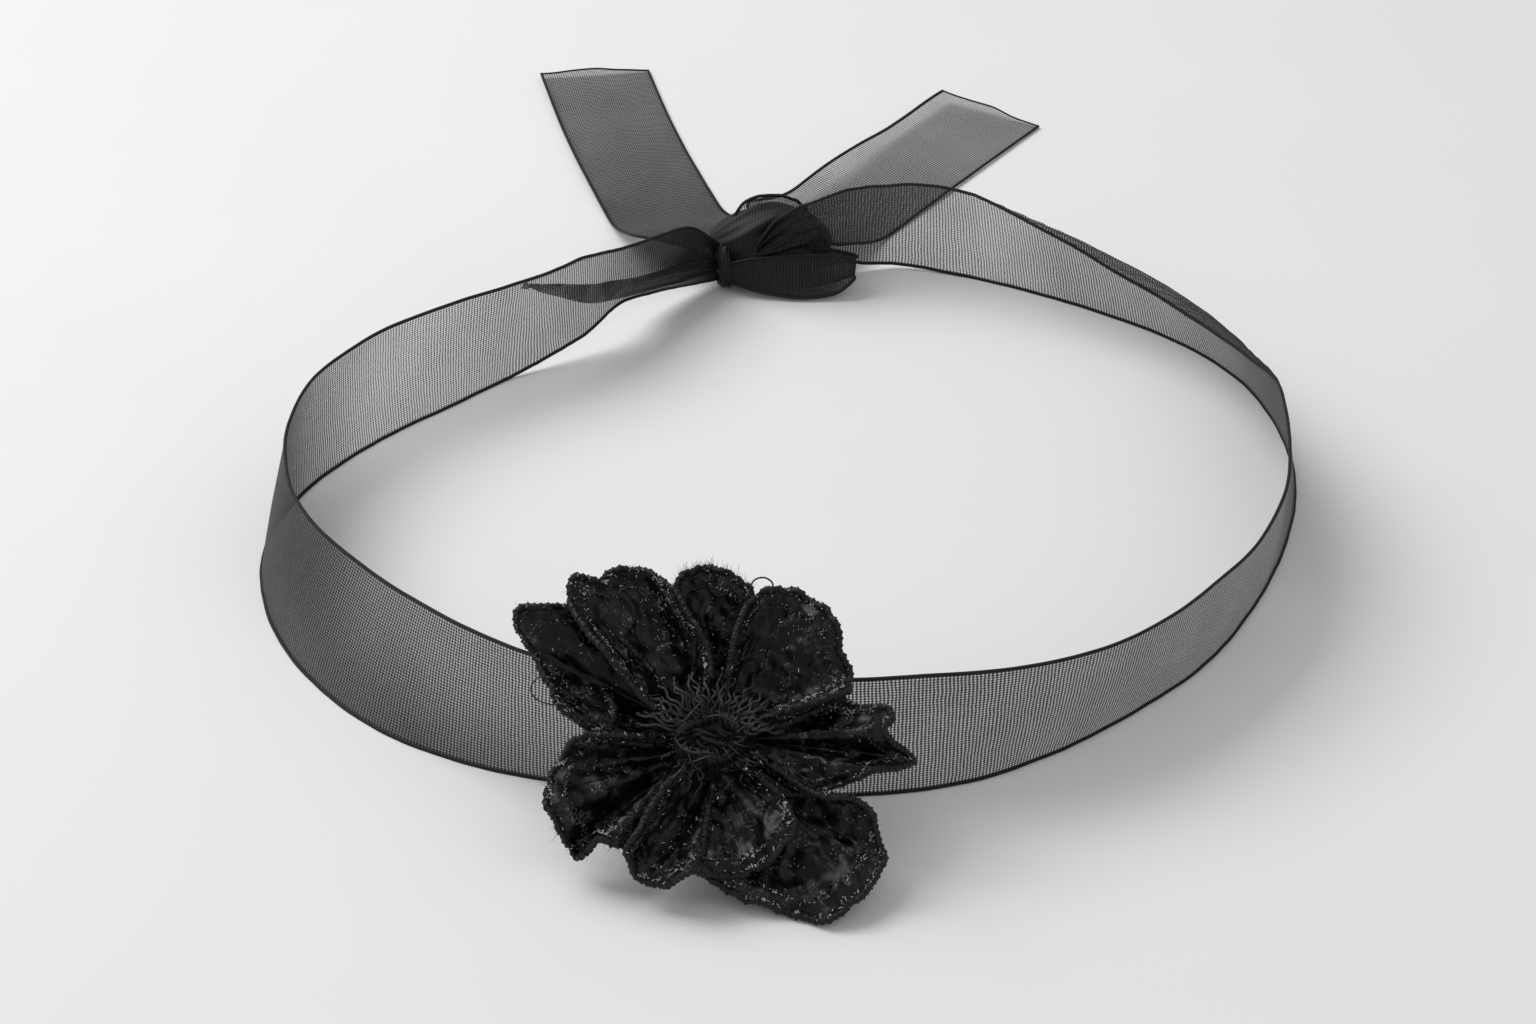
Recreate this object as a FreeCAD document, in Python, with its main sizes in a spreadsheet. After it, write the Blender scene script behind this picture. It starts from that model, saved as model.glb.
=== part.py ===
"""Knotted ribbon headband: a sheer ribbon loop tied at the back, with a corded fabric flower at the front.

Frame: millimetres, +Z up, -Y towards the flower, +X to the wearer's left when worn face forward.
Origin: centre of the head opening, on the surface that the headband stands on.
"""
import FreeCAD, Part
import math
import os
import Sketcher

Vector = FreeCAD.Vector
Rotation = FreeCAD.Rotation
Placement = FreeCAD.Placement

os.makedirs("parts", exist_ok=True)
doc = FreeCAD.newDocument("knotted_headband")

# ---------------------------------------------------------------- driving sizes
SIZES = {
    # ribbon
    "ribbon_width": 25.0,
    "ribbon_wall": 0.5,
    "gather_radius": 4.6,
    "gather_bend": 14.0,
    "right_gather_radius": 4.0,
    "tail_root_width": 10.0,
    "tail_flare_length": 18.0,
    "tail_rise": 6.5,
    "left_tail_length": 88.0,
    "right_tail_length": 79.0,
    # knot
    "wrap_radius": 7.9,
    "wrap_bore": 5.1,
    "wrap_width": 5.0,
    "core_length": 14.4,
    "core_depth": 14.0,
    "core_height": 13.6,
    "fold_radius": 9.6,
    "fold_wall": 1.2,
    "fold_depth": 9.0,
    "flap_length": 22.0,
    "flap_height": 11.0,
    "flap_wall": 1.6,
    # flower
    "flower_tilt": 46.0,
    "petal_wall": 1.0,
    "petal_root_radius": 6.0,
    "petal_root_width": 5.0,
    "layer_rise": 2.8,
    "cord_radius": 0.65,
    "cord_gap": 0.15,
    "cord_start": 13.0,
    "coil_radius": 4.5,
    "coil_wire": 1.2,
    "coil_lift": 4.0,
    "stamen_radius": 0.4,
    "stamen_length": 9.0,
    "stamen_count": 9,
    "thread_radius": 0.3,
    "base_radius": 7.0,
    "base_wall": 1.2,
    "backing_radius": 11.0,
    "backing_wall": 1.4,
}

# name: direction round the flower in degrees from +X, rise in degrees, length, width, layer
PETALS = {
    "petal_far_left": (149.0, 13.0, 36.0, 15.0, 0),
    "petal_upper_left": (124.0, 20.0, 32.0, 19.0, 1),
    "petal_top": (91.0, 15.0, 28.0, 13.0, 0),
    "petal_upper_right": (50.0, 20.0, 30.0, 21.0, 1),
    "petal_right": (-12.0, 10.0, 32.5, 12.0, 2),
    "petal_lower_right": (-53.0, 15.5, 35.0, 21.0, 0),
    "petal_lower_middle": (-99.0, 16.0, 27.5, 20.0, 1),
    "petal_lower_left": (211.0, 8.0, 29.5, 18.0, 0),
}

sheet = doc.addObject("Spreadsheet::Sheet", "Sizes")
rows = dict(SIZES)
for petal_name, (_, _, length, width, _) in PETALS.items():
    rows[petal_name + "_length"] = length
    rows[petal_name + "_width"] = width
for row, (alias, value) in enumerate(rows.items(), start=1):
    sheet.set("A%d" % row, alias)
    sheet.set("B%d" % row, str(value))
    sheet.setAlias("B%d" % row, alias)
doc.recompute()


def size(alias):
    """Return one driving size from the sheet."""
    return float(sheet.get(alias))


# ---------------------------------------------------------------- places
FLOWER_HEART = Vector(-12.5, -92.5, 17.0)
RIBBON_FRONT_Y = -86.5
RIBBON_FRONT_HEADING = -3.7
WRAP_CENTRE = Vector(-13.0, 88.7, 8.0)
CORE_CENTRE = Vector(-1.5, 90.5, 8.7)
FOLD_CENTRE = Vector(-1.0, 91.5, 7.7)
FLAP_CORNER = Vector(-7.0, 83.0, 0.4)
LEFT_GATHER_START = Vector(-35.7, 64.5, 0.0)
LEFT_GATHER_BEND = Vector(-22.0, 88.7, 0.0)
LEFT_GATHER_END = Vector(-10.0, 88.7, 0.0)
RIGHT_GATHER_START = Vector(9.6, 91.7, 9.0)
RIGHT_GATHER_END = Vector(17.2, 94.8, 9.0)
LEFT_TAIL_ROOT = Vector(-19.5, 101.0, 0.0)
RIGHT_TAIL_ROOT = Vector(2.5, 100.5, 0.0)
LEFT_TAIL_HEADING = 106.5
RIGHT_TAIL_HEADING = 54.8

# The open arch of the loose knot layer runs between these angles above the horizontal.
ARCH_START = 22.0
ARCH_END = 158.0

# The threads of the flower's middle fan out between these directions, tipped this far from its axis.
STAMEN_FIRST_DIRECTION = 20.0
STAMEN_LAST_DIRECTION = 150.0
STAMEN_TIP = 62.0
SEWING_DIRECTIONS = (15.0, 75.0, 135.0)

# Small clearances between pieces that are sewn to each other.
DISC_CLEARANCE = 0.3
BACKING_CLEARANCE = 0.7
STAMEN_CLEARANCE = 0.5
STAMEN_LIFT = 2.6
BASE_DROP = 1.0

# How far the cutting outline of a tail reaches past the ribbon on every side.
CUT_MARGIN = 1.0
# A cord gets straight runs beside its blade only where they are longer than this.
SHORTEST_RUN = 1.0

# Stations of the ribbon's lower edge, from the knot round the left side, the front and the right side:
# x, y, height of the lower edge, and how far the ribbon leans outwards, in degrees.
BAND_STATIONS = [
    (-39.0, 65.0, 1.6, -22.0),
    (-52.5, 53.0, 0.4, -14.0),
    (-66.5, 39.5, 0.0, -6.0),
    (-81.0, 25.5, 0.0, -2.0),
    (-93.0, 8.5, 0.0, -6.0),
    (-99.0, -11.0, 0.0, -13.0),
    (-96.5, -32.0, 0.0, -16.0),
    (-87.5, -51.5, 0.0, -23.0),
    (-72.5, -68.5, 0.0, -24.0),
    (-53.5, -79.3, 0.0, -12.0),
    (-33.5, -84.5, 0.0, 0.0),
    (-12.5, -86.5, 0.0, 0.0),
    (9.5, -87.3, 0.0, 0.0),
    (29.5, -84.0, 0.0, 2.0),
    (45.5, -76.0, 0.0, 12.0),
    (60.5, -64.5, 0.0, 18.0),
    (75.5, -49.5, 0.0, 12.0),
    (86.5, -31.5, 0.0, 9.0),
    (95.0, -12.0, 0.0, 4.0),
    (99.0, 7.0, 0.0, -16.0),
    (99.0, 27.0, 0.0, -34.0),
    (93.5, 47.0, 0.0, -40.0),
    (81.5, 63.5, 0.0, -32.0),
    (62.5, 78.0, 0.0, -25.0),
    (42.5, 89.0, 0.0, -16.0),
    (30.5, 93.8, 0.4, -18.0),
    (20.0, 96.5, 1.3, -20.0),
]


# ---------------------------------------------------------------- helpers
def new_body(label):
    """Add an empty PartDesign body with its own label."""
    body = doc.addObject("PartDesign::Body", label)
    body.Label = label
    return body


def origin_plane(body, role):
    """Find one of a body's own origin planes."""
    return next(feature for feature in body.Origin.OriginFeatures if feature.Role == role)


def new_sketch(body, role, name, lift=0.0):
    """Attach a sketch to one of the body's origin planes, raised along the plane's normal."""
    sketch = body.newObject("Sketcher::SketchObject", body.Label + "_" + name)
    sketch.AttachmentSupport = (origin_plane(body, role), [""])
    sketch.MapMode = "FlatFace"
    sketch.AttachmentOffset = Placement(Vector(0, 0, lift), Rotation())
    return sketch


def bind(sketch, constraint, name, expression):
    """Add a dimension to a sketch, name it and tie it to the sheet."""
    index = sketch.addConstraint(constraint)
    sketch.renameConstraint(index, name)
    sketch.setExpression("Constraints." + name, expression)


def tangent_touch(start, root_half, centre_x, radius):
    """Return where a line from (start, root_half) touches the circle at (centre_x, 0) on its outer side."""
    reach = math.hypot(centre_x - start, root_half)
    down = math.atan2(-root_half, centre_x - start)
    side = math.acos(radius / reach)
    angle = down + math.pi - side
    return centre_x + radius * math.cos(angle), radius * math.sin(angle)


def circle_sketch(sketch, radius_expression, name, radius, centre=Vector(0, 0, 0)):
    """Draw a circle whose radius is tied to the sheet and whose centre is fixed."""
    circle = sketch.addGeometry(Part.Circle(centre, Vector(0, 0, 1), radius), False)
    if centre.Length < 1e-9:
        sketch.addConstraint(Sketcher.Constraint("Coincident", circle, 3, -1, 1))
    else:
        sketch.addConstraint(Sketcher.Constraint("DistanceX", -1, 1, circle, 3, centre.x))
        sketch.addConstraint(Sketcher.Constraint("DistanceY", -1, 1, circle, 3, centre.y))
    bind(sketch, Sketcher.Constraint("Radius", circle, radius), name, radius_expression)


def pad(body, sketch, length_expression, midplane=False):
    """Pad a sketch by a length from the sheet."""
    feature = body.newObject("PartDesign::Pad", body.Label + "_pad")
    feature.Profile = sketch
    feature.setExpression("Length", length_expression)
    feature.Midplane = midplane
    sketch.Visibility = False
    return feature


def turned_disc(label, radius_alias, wall_alias, placement):
    """Make a flat round disc whose axis is its own Z."""
    body = new_body(label)
    sketch = new_sketch(body, "XY_Plane", "outline")
    circle_sketch(sketch, "Sizes." + radius_alias, "radius", size(radius_alias))
    pad(body, sketch, "Sizes." + wall_alias)
    body.Placement = placement
    return body


# ---------------------------------------------------------------- ribbon loop
def band_point(station, across, up):
    """Return a point of the ribbon: across its wall and up its width, at one station.

    station holds the lower edge's place, the outward direction and the lean.
    """
    base, outward, lean = station
    rise = outward * math.sin(lean) + Vector(0, 0, 1) * math.cos(lean)
    return base + rise * up + outward * across


def band_frames():
    """Work out the outward direction at each station from its neighbours."""
    places = [Vector(x, y, z) for x, y, z, _ in BAND_STATIONS]
    frames = []
    for index, (x, y, z, lean) in enumerate(BAND_STATIONS):
        before = places[max(index - 1, 0)]
        after = places[min(index + 1, len(places) - 1)]
        along = Vector(after.x - before.x, after.y - before.y, 0).normalize()
        outward = Vector(along.y, -along.x, 0)
        frames.append((Vector(x, y, z), outward, math.radians(lean)))
    return frames


def arc_chain(points):
    """Join points by arcs, each through three of them."""
    starts = range(0, len(points) - 2, 2)
    return [Part.Arc(points[i], points[i + 1], points[i + 2]).toShape() for i in starts]


def band_edge(frames, across, up):
    """Make one long edge of the ribbon's wall as a chain of arcs."""
    return arc_chain([band_point(frame, across, up) for frame in frames])


def make_band():
    """Make the head loop: one standing wall of ribbon that leans in and out along its way."""
    frames = band_frames()
    half_wall = size("ribbon_wall") / 2
    width = size("ribbon_width")
    corners = [(half_wall, 0.0), (half_wall, width), (-half_wall, width), (-half_wall, 0.0)]
    chains = [band_edge(frames, across, up) for across, up in corners]
    faces = []
    for index, chain in enumerate(chains):
        beside = chains[(index + 1) % len(chains)]
        faces += [Part.makeRuledSurface(edge, partner) for edge, partner in zip(chain, beside)]
    for frame in (frames[0], frames[-1]):
        ends = [band_point(frame, across, up) for across, up in corners]
        faces.append(Part.Face(Part.makePolygon(ends + ends[:1])))
    shell = Part.Shell(faces)
    shell.sewShape()
    solid = Part.Solid(shell)
    if solid.Volume < 0:
        solid.reverse()
    band = doc.addObject("Part::Feature", "ribbon_loop")
    band.Label = "ribbon_loop"
    band.Shape = solid
    band.Placement = Placement()
    return band


# ---------------------------------------------------------------- knot
def make_left_gather():
    """Make the stretch where the ribbon bunches into a rope and runs into the wrap."""
    body = new_body("left_gather")
    bend_radius = size("gather_bend")
    slant = (LEFT_GATHER_START - LEFT_GATHER_BEND).normalize()
    turn = math.pi - slant.getAngle(Vector(1, 0, 0))
    cut_back = bend_radius * math.tan(turn / 2)
    leave = LEFT_GATHER_BEND + slant * cut_back
    join = LEFT_GATHER_BEND + Vector(cut_back, 0, 0)
    centre = join - Vector(0, bend_radius, 0)
    middle = centre + ((leave + join) * 0.5 - centre).normalize() * bend_radius
    spine = new_sketch(body, "XY_Plane", "spine")
    spine.addGeometry(Part.LineSegment(LEFT_GATHER_START, leave), False)
    spine.addGeometry(Part.Arc(leave, middle, join), False)
    spine.addGeometry(Part.LineSegment(join, LEFT_GATHER_END), False)
    for geometry in range(spine.GeometryCount):
        spine.addConstraint(Sketcher.Constraint("Block", geometry))
    profile = new_sketch(body, "YZ_Plane", "section", LEFT_GATHER_END.x)
    section_centre = Vector(LEFT_GATHER_END.y, 0, 0)
    circle_sketch(profile, "Sizes.gather_radius", "radius", size("gather_radius"), section_centre)
    pipe = body.newObject("PartDesign::AdditivePipe", body.Label + "_pipe")
    pipe.Profile = profile
    pipe.Spine = (spine, [])
    body.Placement = Placement(Vector(0, 0, WRAP_CENTRE.z), Rotation())
    return body


def make_right_gather():
    """Make the short bunched stretch between the knot and the right side of the loop."""
    gather = doc.addObject("Part::Cylinder", "right_gather")
    gather.Label = "right_gather"
    gather.setExpression("Radius", "Sizes.right_gather_radius")
    run = RIGHT_GATHER_END - RIGHT_GATHER_START
    gather.Height = run.Length
    gather.Placement = Placement(RIGHT_GATHER_START, Rotation(Vector(0, 0, 1), run))
    return gather


def make_wrap():
    """Make the tight turn of ribbon that holds the knot closed."""
    body = new_body("knot_wrap")
    outline = new_sketch(body, "YZ_Plane", "outline")
    circle_sketch(outline, "Sizes.wrap_radius", "outer", size("wrap_radius"))
    circle_sketch(outline, "Sizes.wrap_bore", "inner", size("wrap_bore"))
    pad(body, outline, "Sizes.wrap_width", midplane=True)
    body.Placement = Placement(WRAP_CENTRE, Rotation())
    return body


def make_core():
    """Make the packed folds in the middle of the knot as one rounded lump."""
    core = doc.addObject("Part::Ellipsoid", "knot_core")
    core.Label = "knot_core"
    core.setExpression("Radius1", "Sizes.core_height / 2")
    core.setExpression("Radius2", "Sizes.core_length / 2")
    core.setExpression("Radius3", "Sizes.core_depth / 2")
    core.Placement = Placement(CORE_CENTRE, Rotation())
    return core


def make_upper_fold():
    """Make the loose layer that arches over the top of the knot."""
    body = new_body("knot_upper_fold")
    sketch = new_sketch(body, "XZ_Plane", "arch")
    outer = size("fold_radius")
    inner = outer - size("fold_wall")
    sweep = (math.radians(ARCH_START), math.radians(ARCH_END))
    axis = Vector(0, 0, 1)
    outer_arc = sketch.addGeometry(Part.ArcOfCircle(Part.Circle(Vector(), axis, outer), *sweep), False)
    inner_arc = sketch.addGeometry(Part.ArcOfCircle(Part.Circle(Vector(), axis, inner), *sweep), False)
    ends = []
    for angle in sweep:
        toward = Vector(math.cos(angle), math.sin(angle), 0)
        ends.append(sketch.addGeometry(Part.LineSegment(toward * outer, toward * inner), False))
    for end, vertex in zip(ends, (1, 2)):
        sketch.addConstraint(Sketcher.Constraint("Coincident", end, 1, outer_arc, vertex))
        sketch.addConstraint(Sketcher.Constraint("Coincident", end, 2, inner_arc, vertex))
    sketch.addConstraint(Sketcher.Constraint("Coincident", outer_arc, 3, -1, 1))
    sketch.addConstraint(Sketcher.Constraint("Coincident", inner_arc, 3, -1, 1))
    bind(sketch, Sketcher.Constraint("Radius", outer_arc, outer), "outer", "Sizes.fold_radius")
    bind(sketch, Sketcher.Constraint("Radius", inner_arc, inner), "inner",
         "Sizes.fold_radius - Sizes.fold_wall")
    pad(body, sketch, "Sizes.fold_depth", midplane=True)
    body.Placement = Placement(FOLD_CENTRE, Rotation())
    return body


def make_flap():
    """Make the flattened double fold that hangs in front of the knot."""
    body = new_body("knot_flap")
    sketch = new_sketch(body, "XZ_Plane", "outline")
    length = size("flap_length")
    height = size("flap_height")
    half = height / 2
    round_x = length - half
    nose_circle = Part.Circle(Vector(round_x, half, 0), Vector(0, 0, 1), half)
    top = sketch.addGeometry(Part.LineSegment(Vector(0, height, 0), Vector(round_x, height, 0)), False)
    nose = sketch.addGeometry(
        Part.ArcOfCircle(nose_circle, -math.pi / 2, math.pi / 2),
        False)
    bottom = sketch.addGeometry(Part.LineSegment(Vector(round_x, 0, 0), Vector(0, 0, 0)), False)
    side = sketch.addGeometry(Part.LineSegment(Vector(0, 0, 0), Vector(0, height, 0)), False)
    sketch.addConstraint(Sketcher.Constraint("Tangent", top, 2, nose, 2))
    sketch.addConstraint(Sketcher.Constraint("Tangent", nose, 1, bottom, 1))
    sketch.addConstraint(Sketcher.Constraint("Coincident", bottom, 2, side, 1))
    sketch.addConstraint(Sketcher.Constraint("Coincident", side, 2, top, 1))
    sketch.addConstraint(Sketcher.Constraint("Coincident", side, 1, -1, 1))
    sketch.addConstraint(Sketcher.Constraint("Vertical", side))
    sketch.addConstraint(Sketcher.Constraint("Horizontal", top))
    sketch.addConstraint(Sketcher.Constraint("Horizontal", bottom))
    bind(sketch, Sketcher.Constraint("DistanceY", side, 1, side, 2, height), "height", "Sizes.flap_height")
    bind(sketch, Sketcher.Constraint("DistanceX", top, 1, top, 2, round_x), "straight",
         "Sizes.flap_length - Sizes.flap_height / 2")
    pad(body, sketch, "Sizes.flap_wall")
    body.Placement = Placement(FLAP_CORNER, Rotation())
    return body


# ---------------------------------------------------------------- tails
def make_tail(label, root, heading, length_alias):
    """Make one ribbon tail: it slopes down from the knot, then lies flat, and flares out from its root.

    The tail's own X runs from the knot to the cut end, and its own Z is up.
    """
    body = new_body(label)
    wall = size("ribbon_wall")
    rise = size("tail_rise")
    flare = size("tail_flare_length")
    length = size(length_alias)
    corners = [
        Vector(0, rise, 0),
        Vector(flare, 0, 0),
        Vector(length, 0, 0),
        Vector(length, wall, 0),
        Vector(flare, wall, 0),
        Vector(0, rise + wall, 0),
    ]
    side = new_sketch(body, "XZ_Plane", "side")
    for index, corner in enumerate(corners):
        side.addGeometry(Part.LineSegment(corner, corners[(index + 1) % len(corners)]), False)
    for index in range(len(corners)):
        following = (index + 1) % len(corners)
        side.addConstraint(Sketcher.Constraint("Coincident", index, 2, following, 1))
    side.addConstraint(Sketcher.Constraint("Horizontal", 1))
    side.addConstraint(Sketcher.Constraint("Vertical", 2))
    side.addConstraint(Sketcher.Constraint("Horizontal", 3))
    side.addConstraint(Sketcher.Constraint("Vertical", 5))
    side.addConstraint(Sketcher.Constraint("Vertical", 1, 1, 3, 2))
    side.addConstraint(Sketcher.Constraint("PointOnObject", 0, 1, -2))
    side.addConstraint(Sketcher.Constraint("PointOnObject", 0, 2, -1))
    bind(side, Sketcher.Constraint("DistanceY", -1, 1, 0, 1, rise), "rise", "Sizes.tail_rise")
    bind(side, Sketcher.Constraint("DistanceX", -1, 1, 0, 2, flare), "flare", "Sizes.tail_flare_length")
    bind(side, Sketcher.Constraint("DistanceX", -1, 1, 1, 2, length), "length", "Sizes." + length_alias)
    bind(side, Sketcher.Constraint("DistanceY", 2, 1, 2, 2, wall), "wall", "Sizes.ribbon_wall")
    bind(side, Sketcher.Constraint("DistanceY", 5, 2, 5, 1, wall), "root_wall", "Sizes.ribbon_wall")
    pad(body, side, "Sizes.ribbon_width", midplane=True)

    taper = new_sketch(body, "XY_Plane", "taper")
    root_half = size("tail_root_width") / 2
    outside = size("ribbon_width") / 2 + CUT_MARGIN
    for sign in (1, -1):
        triangle = [
            Vector(-CUT_MARGIN, sign * root_half, 0),
            Vector(flare, sign * outside, 0),
            Vector(-CUT_MARGIN, sign * outside, 0),
        ]
        first = taper.GeometryCount
        for index, corner in enumerate(triangle):
            taper.addGeometry(Part.LineSegment(corner, triangle[(index + 1) % 3]), False)
        for index in range(3):
            following = first + (index + 1) % 3
            taper.addConstraint(Sketcher.Constraint("Coincident", first + index, 2, following, 1))
        taper.addConstraint(Sketcher.Constraint("Horizontal", first + 1))
        taper.addConstraint(Sketcher.Constraint("Vertical", first + 2))
        low, high = ((-1, 1), (first, 1)) if sign > 0 else ((first, 1), (-1, 1))
        taper.addConstraint(Sketcher.Constraint("DistanceX", first, 1, -1, 1, CUT_MARGIN))
        bind(taper, Sketcher.Constraint("DistanceY", *low, *high, root_half),
             "root_%d" % first, "Sizes.tail_root_width / 2")
        low, high = ((-1, 1), (first, 2)) if sign > 0 else ((first, 2), (-1, 1))
        bind(taper, Sketcher.Constraint("DistanceY", *low, *high, outside),
             "outside_%d" % first, "Sizes.ribbon_width / 2 + %g" % CUT_MARGIN)
        bind(taper, Sketcher.Constraint("DistanceX", -1, 1, first, 2, flare),
             "flare_%d" % first, "Sizes.tail_flare_length")
    cut = body.newObject("PartDesign::Pocket", body.Label + "_corners")
    cut.Profile = taper
    cut.Type = "ThroughAll"
    cut.Midplane = True
    body.Placement = Placement(root, Rotation(Vector(0, 0, 1), heading))
    return body


# ---------------------------------------------------------------- flower
def flower_place(local, rotation=None):
    """Place something given in the flower's own frame, whose Z points out of its face."""
    tilt = Rotation(Vector(1, 0, 0), size("flower_tilt"))
    frame = Placement(FLOWER_HEART, tilt)
    return frame.multiply(Placement(local, rotation or Rotation()))


def petal_place(petal_name):
    """Return a petal's placement: turned to its direction, raised by its layer and tipped up."""
    direction, rise, _, _, layer = PETALS[petal_name]
    turn = Rotation(Vector(0, 0, 1), direction).multiply(Rotation(Vector(0, 1, 0), -rise))
    return flower_place(Vector(0, 0, layer * size("layer_rise")), turn)


def make_petal(petal_name):
    """Make one petal: a flat blade with a narrow sewn root and a round end."""
    body = new_body(petal_name)
    start = size("petal_root_radius")
    root_half = size("petal_root_width") / 2
    radius = size(petal_name + "_width") / 2
    centre_x = size(petal_name + "_length") - radius
    touch_x, touch_y = tangent_touch(start, root_half, centre_x, radius)
    swing = math.atan2(touch_y, touch_x - centre_x)
    sketch = new_sketch(body, "XY_Plane", "outline")
    foot = [Vector(start, -root_half, 0), Vector(start, root_half, 0)]
    touch = [Vector(touch_x, -touch_y, 0), Vector(touch_x, touch_y, 0)]
    root = sketch.addGeometry(Part.LineSegment(foot[0], foot[1]), False)
    upper = sketch.addGeometry(Part.LineSegment(foot[1], touch[1]), False)
    tip = sketch.addGeometry(
        Part.ArcOfCircle(Part.Circle(Vector(centre_x, 0, 0), Vector(0, 0, 1), radius), -swing, swing), False)
    lower = sketch.addGeometry(Part.LineSegment(touch[0], foot[0]), False)
    sketch.addConstraint(Sketcher.Constraint("Coincident", root, 2, upper, 1))
    sketch.addConstraint(Sketcher.Constraint("Tangent", upper, 2, tip, 2))
    sketch.addConstraint(Sketcher.Constraint("Tangent", tip, 1, lower, 1))
    sketch.addConstraint(Sketcher.Constraint("Coincident", lower, 2, root, 1))
    sketch.addConstraint(Sketcher.Constraint("Symmetric", root, 1, root, 2, -1))
    sketch.addConstraint(Sketcher.Constraint("PointOnObject", tip, 3, -1))
    bind(sketch, Sketcher.Constraint("DistanceX", -1, 1, root, 1, start), "root", "Sizes.petal_root_radius")
    bind(sketch, Sketcher.Constraint("DistanceY", root, 1, root, 2, 2 * root_half), "root_width",
         "Sizes.petal_root_width")
    bind(sketch, Sketcher.Constraint("Radius", tip, radius), "end", "Sizes.%s_width / 2" % petal_name)
    bind(sketch, Sketcher.Constraint("DistanceX", -1, 1, tip, 3, centre_x), "reach",
         "Sizes.%s_length - Sizes.%s_width / 2" % (petal_name, petal_name))
    pad(body, sketch, "Sizes.petal_wall", midplane=True)
    body.Placement = petal_place(petal_name)
    return body


def make_petal_cord(petal_name):
    """Make the cord that is couched round a petal's edge, just outside the blade."""
    label = petal_name.replace("petal_", "edge_cord_")
    body = new_body(label)
    offset = size("cord_radius") + size("cord_gap")
    first_x = size("cord_start")
    blade_radius = size(petal_name + "_width") / 2
    radius = blade_radius + offset
    centre_x = size(petal_name + "_length") - blade_radius
    root_half = size("petal_root_width") / 2
    blade_touch = tangent_touch(size("petal_root_radius"), root_half, centre_x, blade_radius)
    swing = math.atan2(blade_touch[1], blade_touch[0] - centre_x)
    touch_x = centre_x + radius * math.cos(swing)
    touch_y = radius * math.sin(swing)
    if touch_x > first_x + SHORTEST_RUN:
        begin = Vector(first_x, touch_y + (touch_x - first_x) * math.cos(swing) / math.sin(swing), 0)
    else:
        swing = math.acos((first_x - centre_x) / radius)
        begin = Vector(first_x, radius * math.sin(swing), 0)
    tip = Part.ArcOfCircle(Part.Circle(Vector(centre_x, 0, 0), Vector(0, 0, 1), radius), -swing, swing)
    spine = new_sketch(body, "XY_Plane", "spine")
    if touch_x > first_x + SHORTEST_RUN:
        spine.addGeometry(Part.LineSegment(begin, tip.EndPoint), False)
        spine.addGeometry(Part.LineSegment(tip.StartPoint, Vector(begin.x, -begin.y, 0)), False)
    spine.addGeometry(tip, False)
    for geometry in range(spine.GeometryCount):
        spine.addConstraint(Sketcher.Constraint("Block", geometry))
    profile = new_sketch(body, "YZ_Plane", "section", begin.x)
    circle_sketch(profile, "Sizes.cord_radius", "radius", size("cord_radius"), Vector(begin.y, 0, 0))
    pipe = body.newObject("PartDesign::AdditivePipe", label + "_pipe")
    pipe.Profile = profile
    pipe.Spine = (spine, [])
    body.Placement = petal_place(petal_name)
    return body


def make_coil():
    """Make the gathered ring in the middle of the flower."""
    coil = doc.addObject("Part::Torus", "centre_coil")
    coil.Label = "centre_coil"
    coil.setExpression("Radius1", "Sizes.coil_radius")
    coil.setExpression("Radius2", "Sizes.coil_wire")
    coil.Placement = flower_place(Vector(0, 0, size("coil_lift")))
    return coil


def make_rods(label, radius_alias, placements, length):
    """Make a group of separate straight threads in one node."""
    rods = []
    for index, placement in enumerate(placements):
        rod = doc.addObject("Part::Cylinder", "%s_%d" % (label, index))
        rod.setExpression("Radius", "Sizes." + radius_alias)
        rod.Height = length
        rod.Placement = placement
        rods.append(rod)
    group = doc.addObject("Part::Compound", label)
    group.Label = label
    group.Links = rods
    return group


def make_stamens():
    """Make the threads that fan up and out from the ring."""
    count = int(size("stamen_count"))
    step = (STAMEN_LAST_DIRECTION - STAMEN_FIRST_DIRECTION) / (count - 1)
    lift = size("coil_lift") + STAMEN_LIFT
    inner = size("coil_radius") + size("coil_wire") + STAMEN_CLEARANCE
    placements = []
    for index in range(count):
        around = Rotation(Vector(0, 0, 1), STAMEN_FIRST_DIRECTION + step * index)
        tipped = around.multiply(Rotation(Vector(0, 1, 0), STAMEN_TIP))
        foot = around.multVec(Vector(inner, 0, lift))
        placements.append(flower_place(foot, tipped))
    return make_rods("stamen_threads", "stamen_radius", placements, size("stamen_length"))


def make_sewing_threads():
    """Make the stitches that cross the middle of the ring and hold the flower down."""
    radius = size("thread_radius")
    length = 2 * size("coil_radius")
    first_lift = size("coil_lift") + size("coil_wire") + 1.5 * radius
    lift_step = 2.2 * radius
    placements = []
    for index, direction in enumerate(SEWING_DIRECTIONS):
        around = Rotation(Vector(0, 0, 1), direction)
        lying = around.multiply(Rotation(Vector(0, 1, 0), 90.0))
        start = around.multVec(Vector(-length / 2, 0, 0))
        start.z = first_lift + index * lift_step
        placements.append(flower_place(start, lying))
    return make_rods("sewing_threads", "thread_radius", placements, length)


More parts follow.
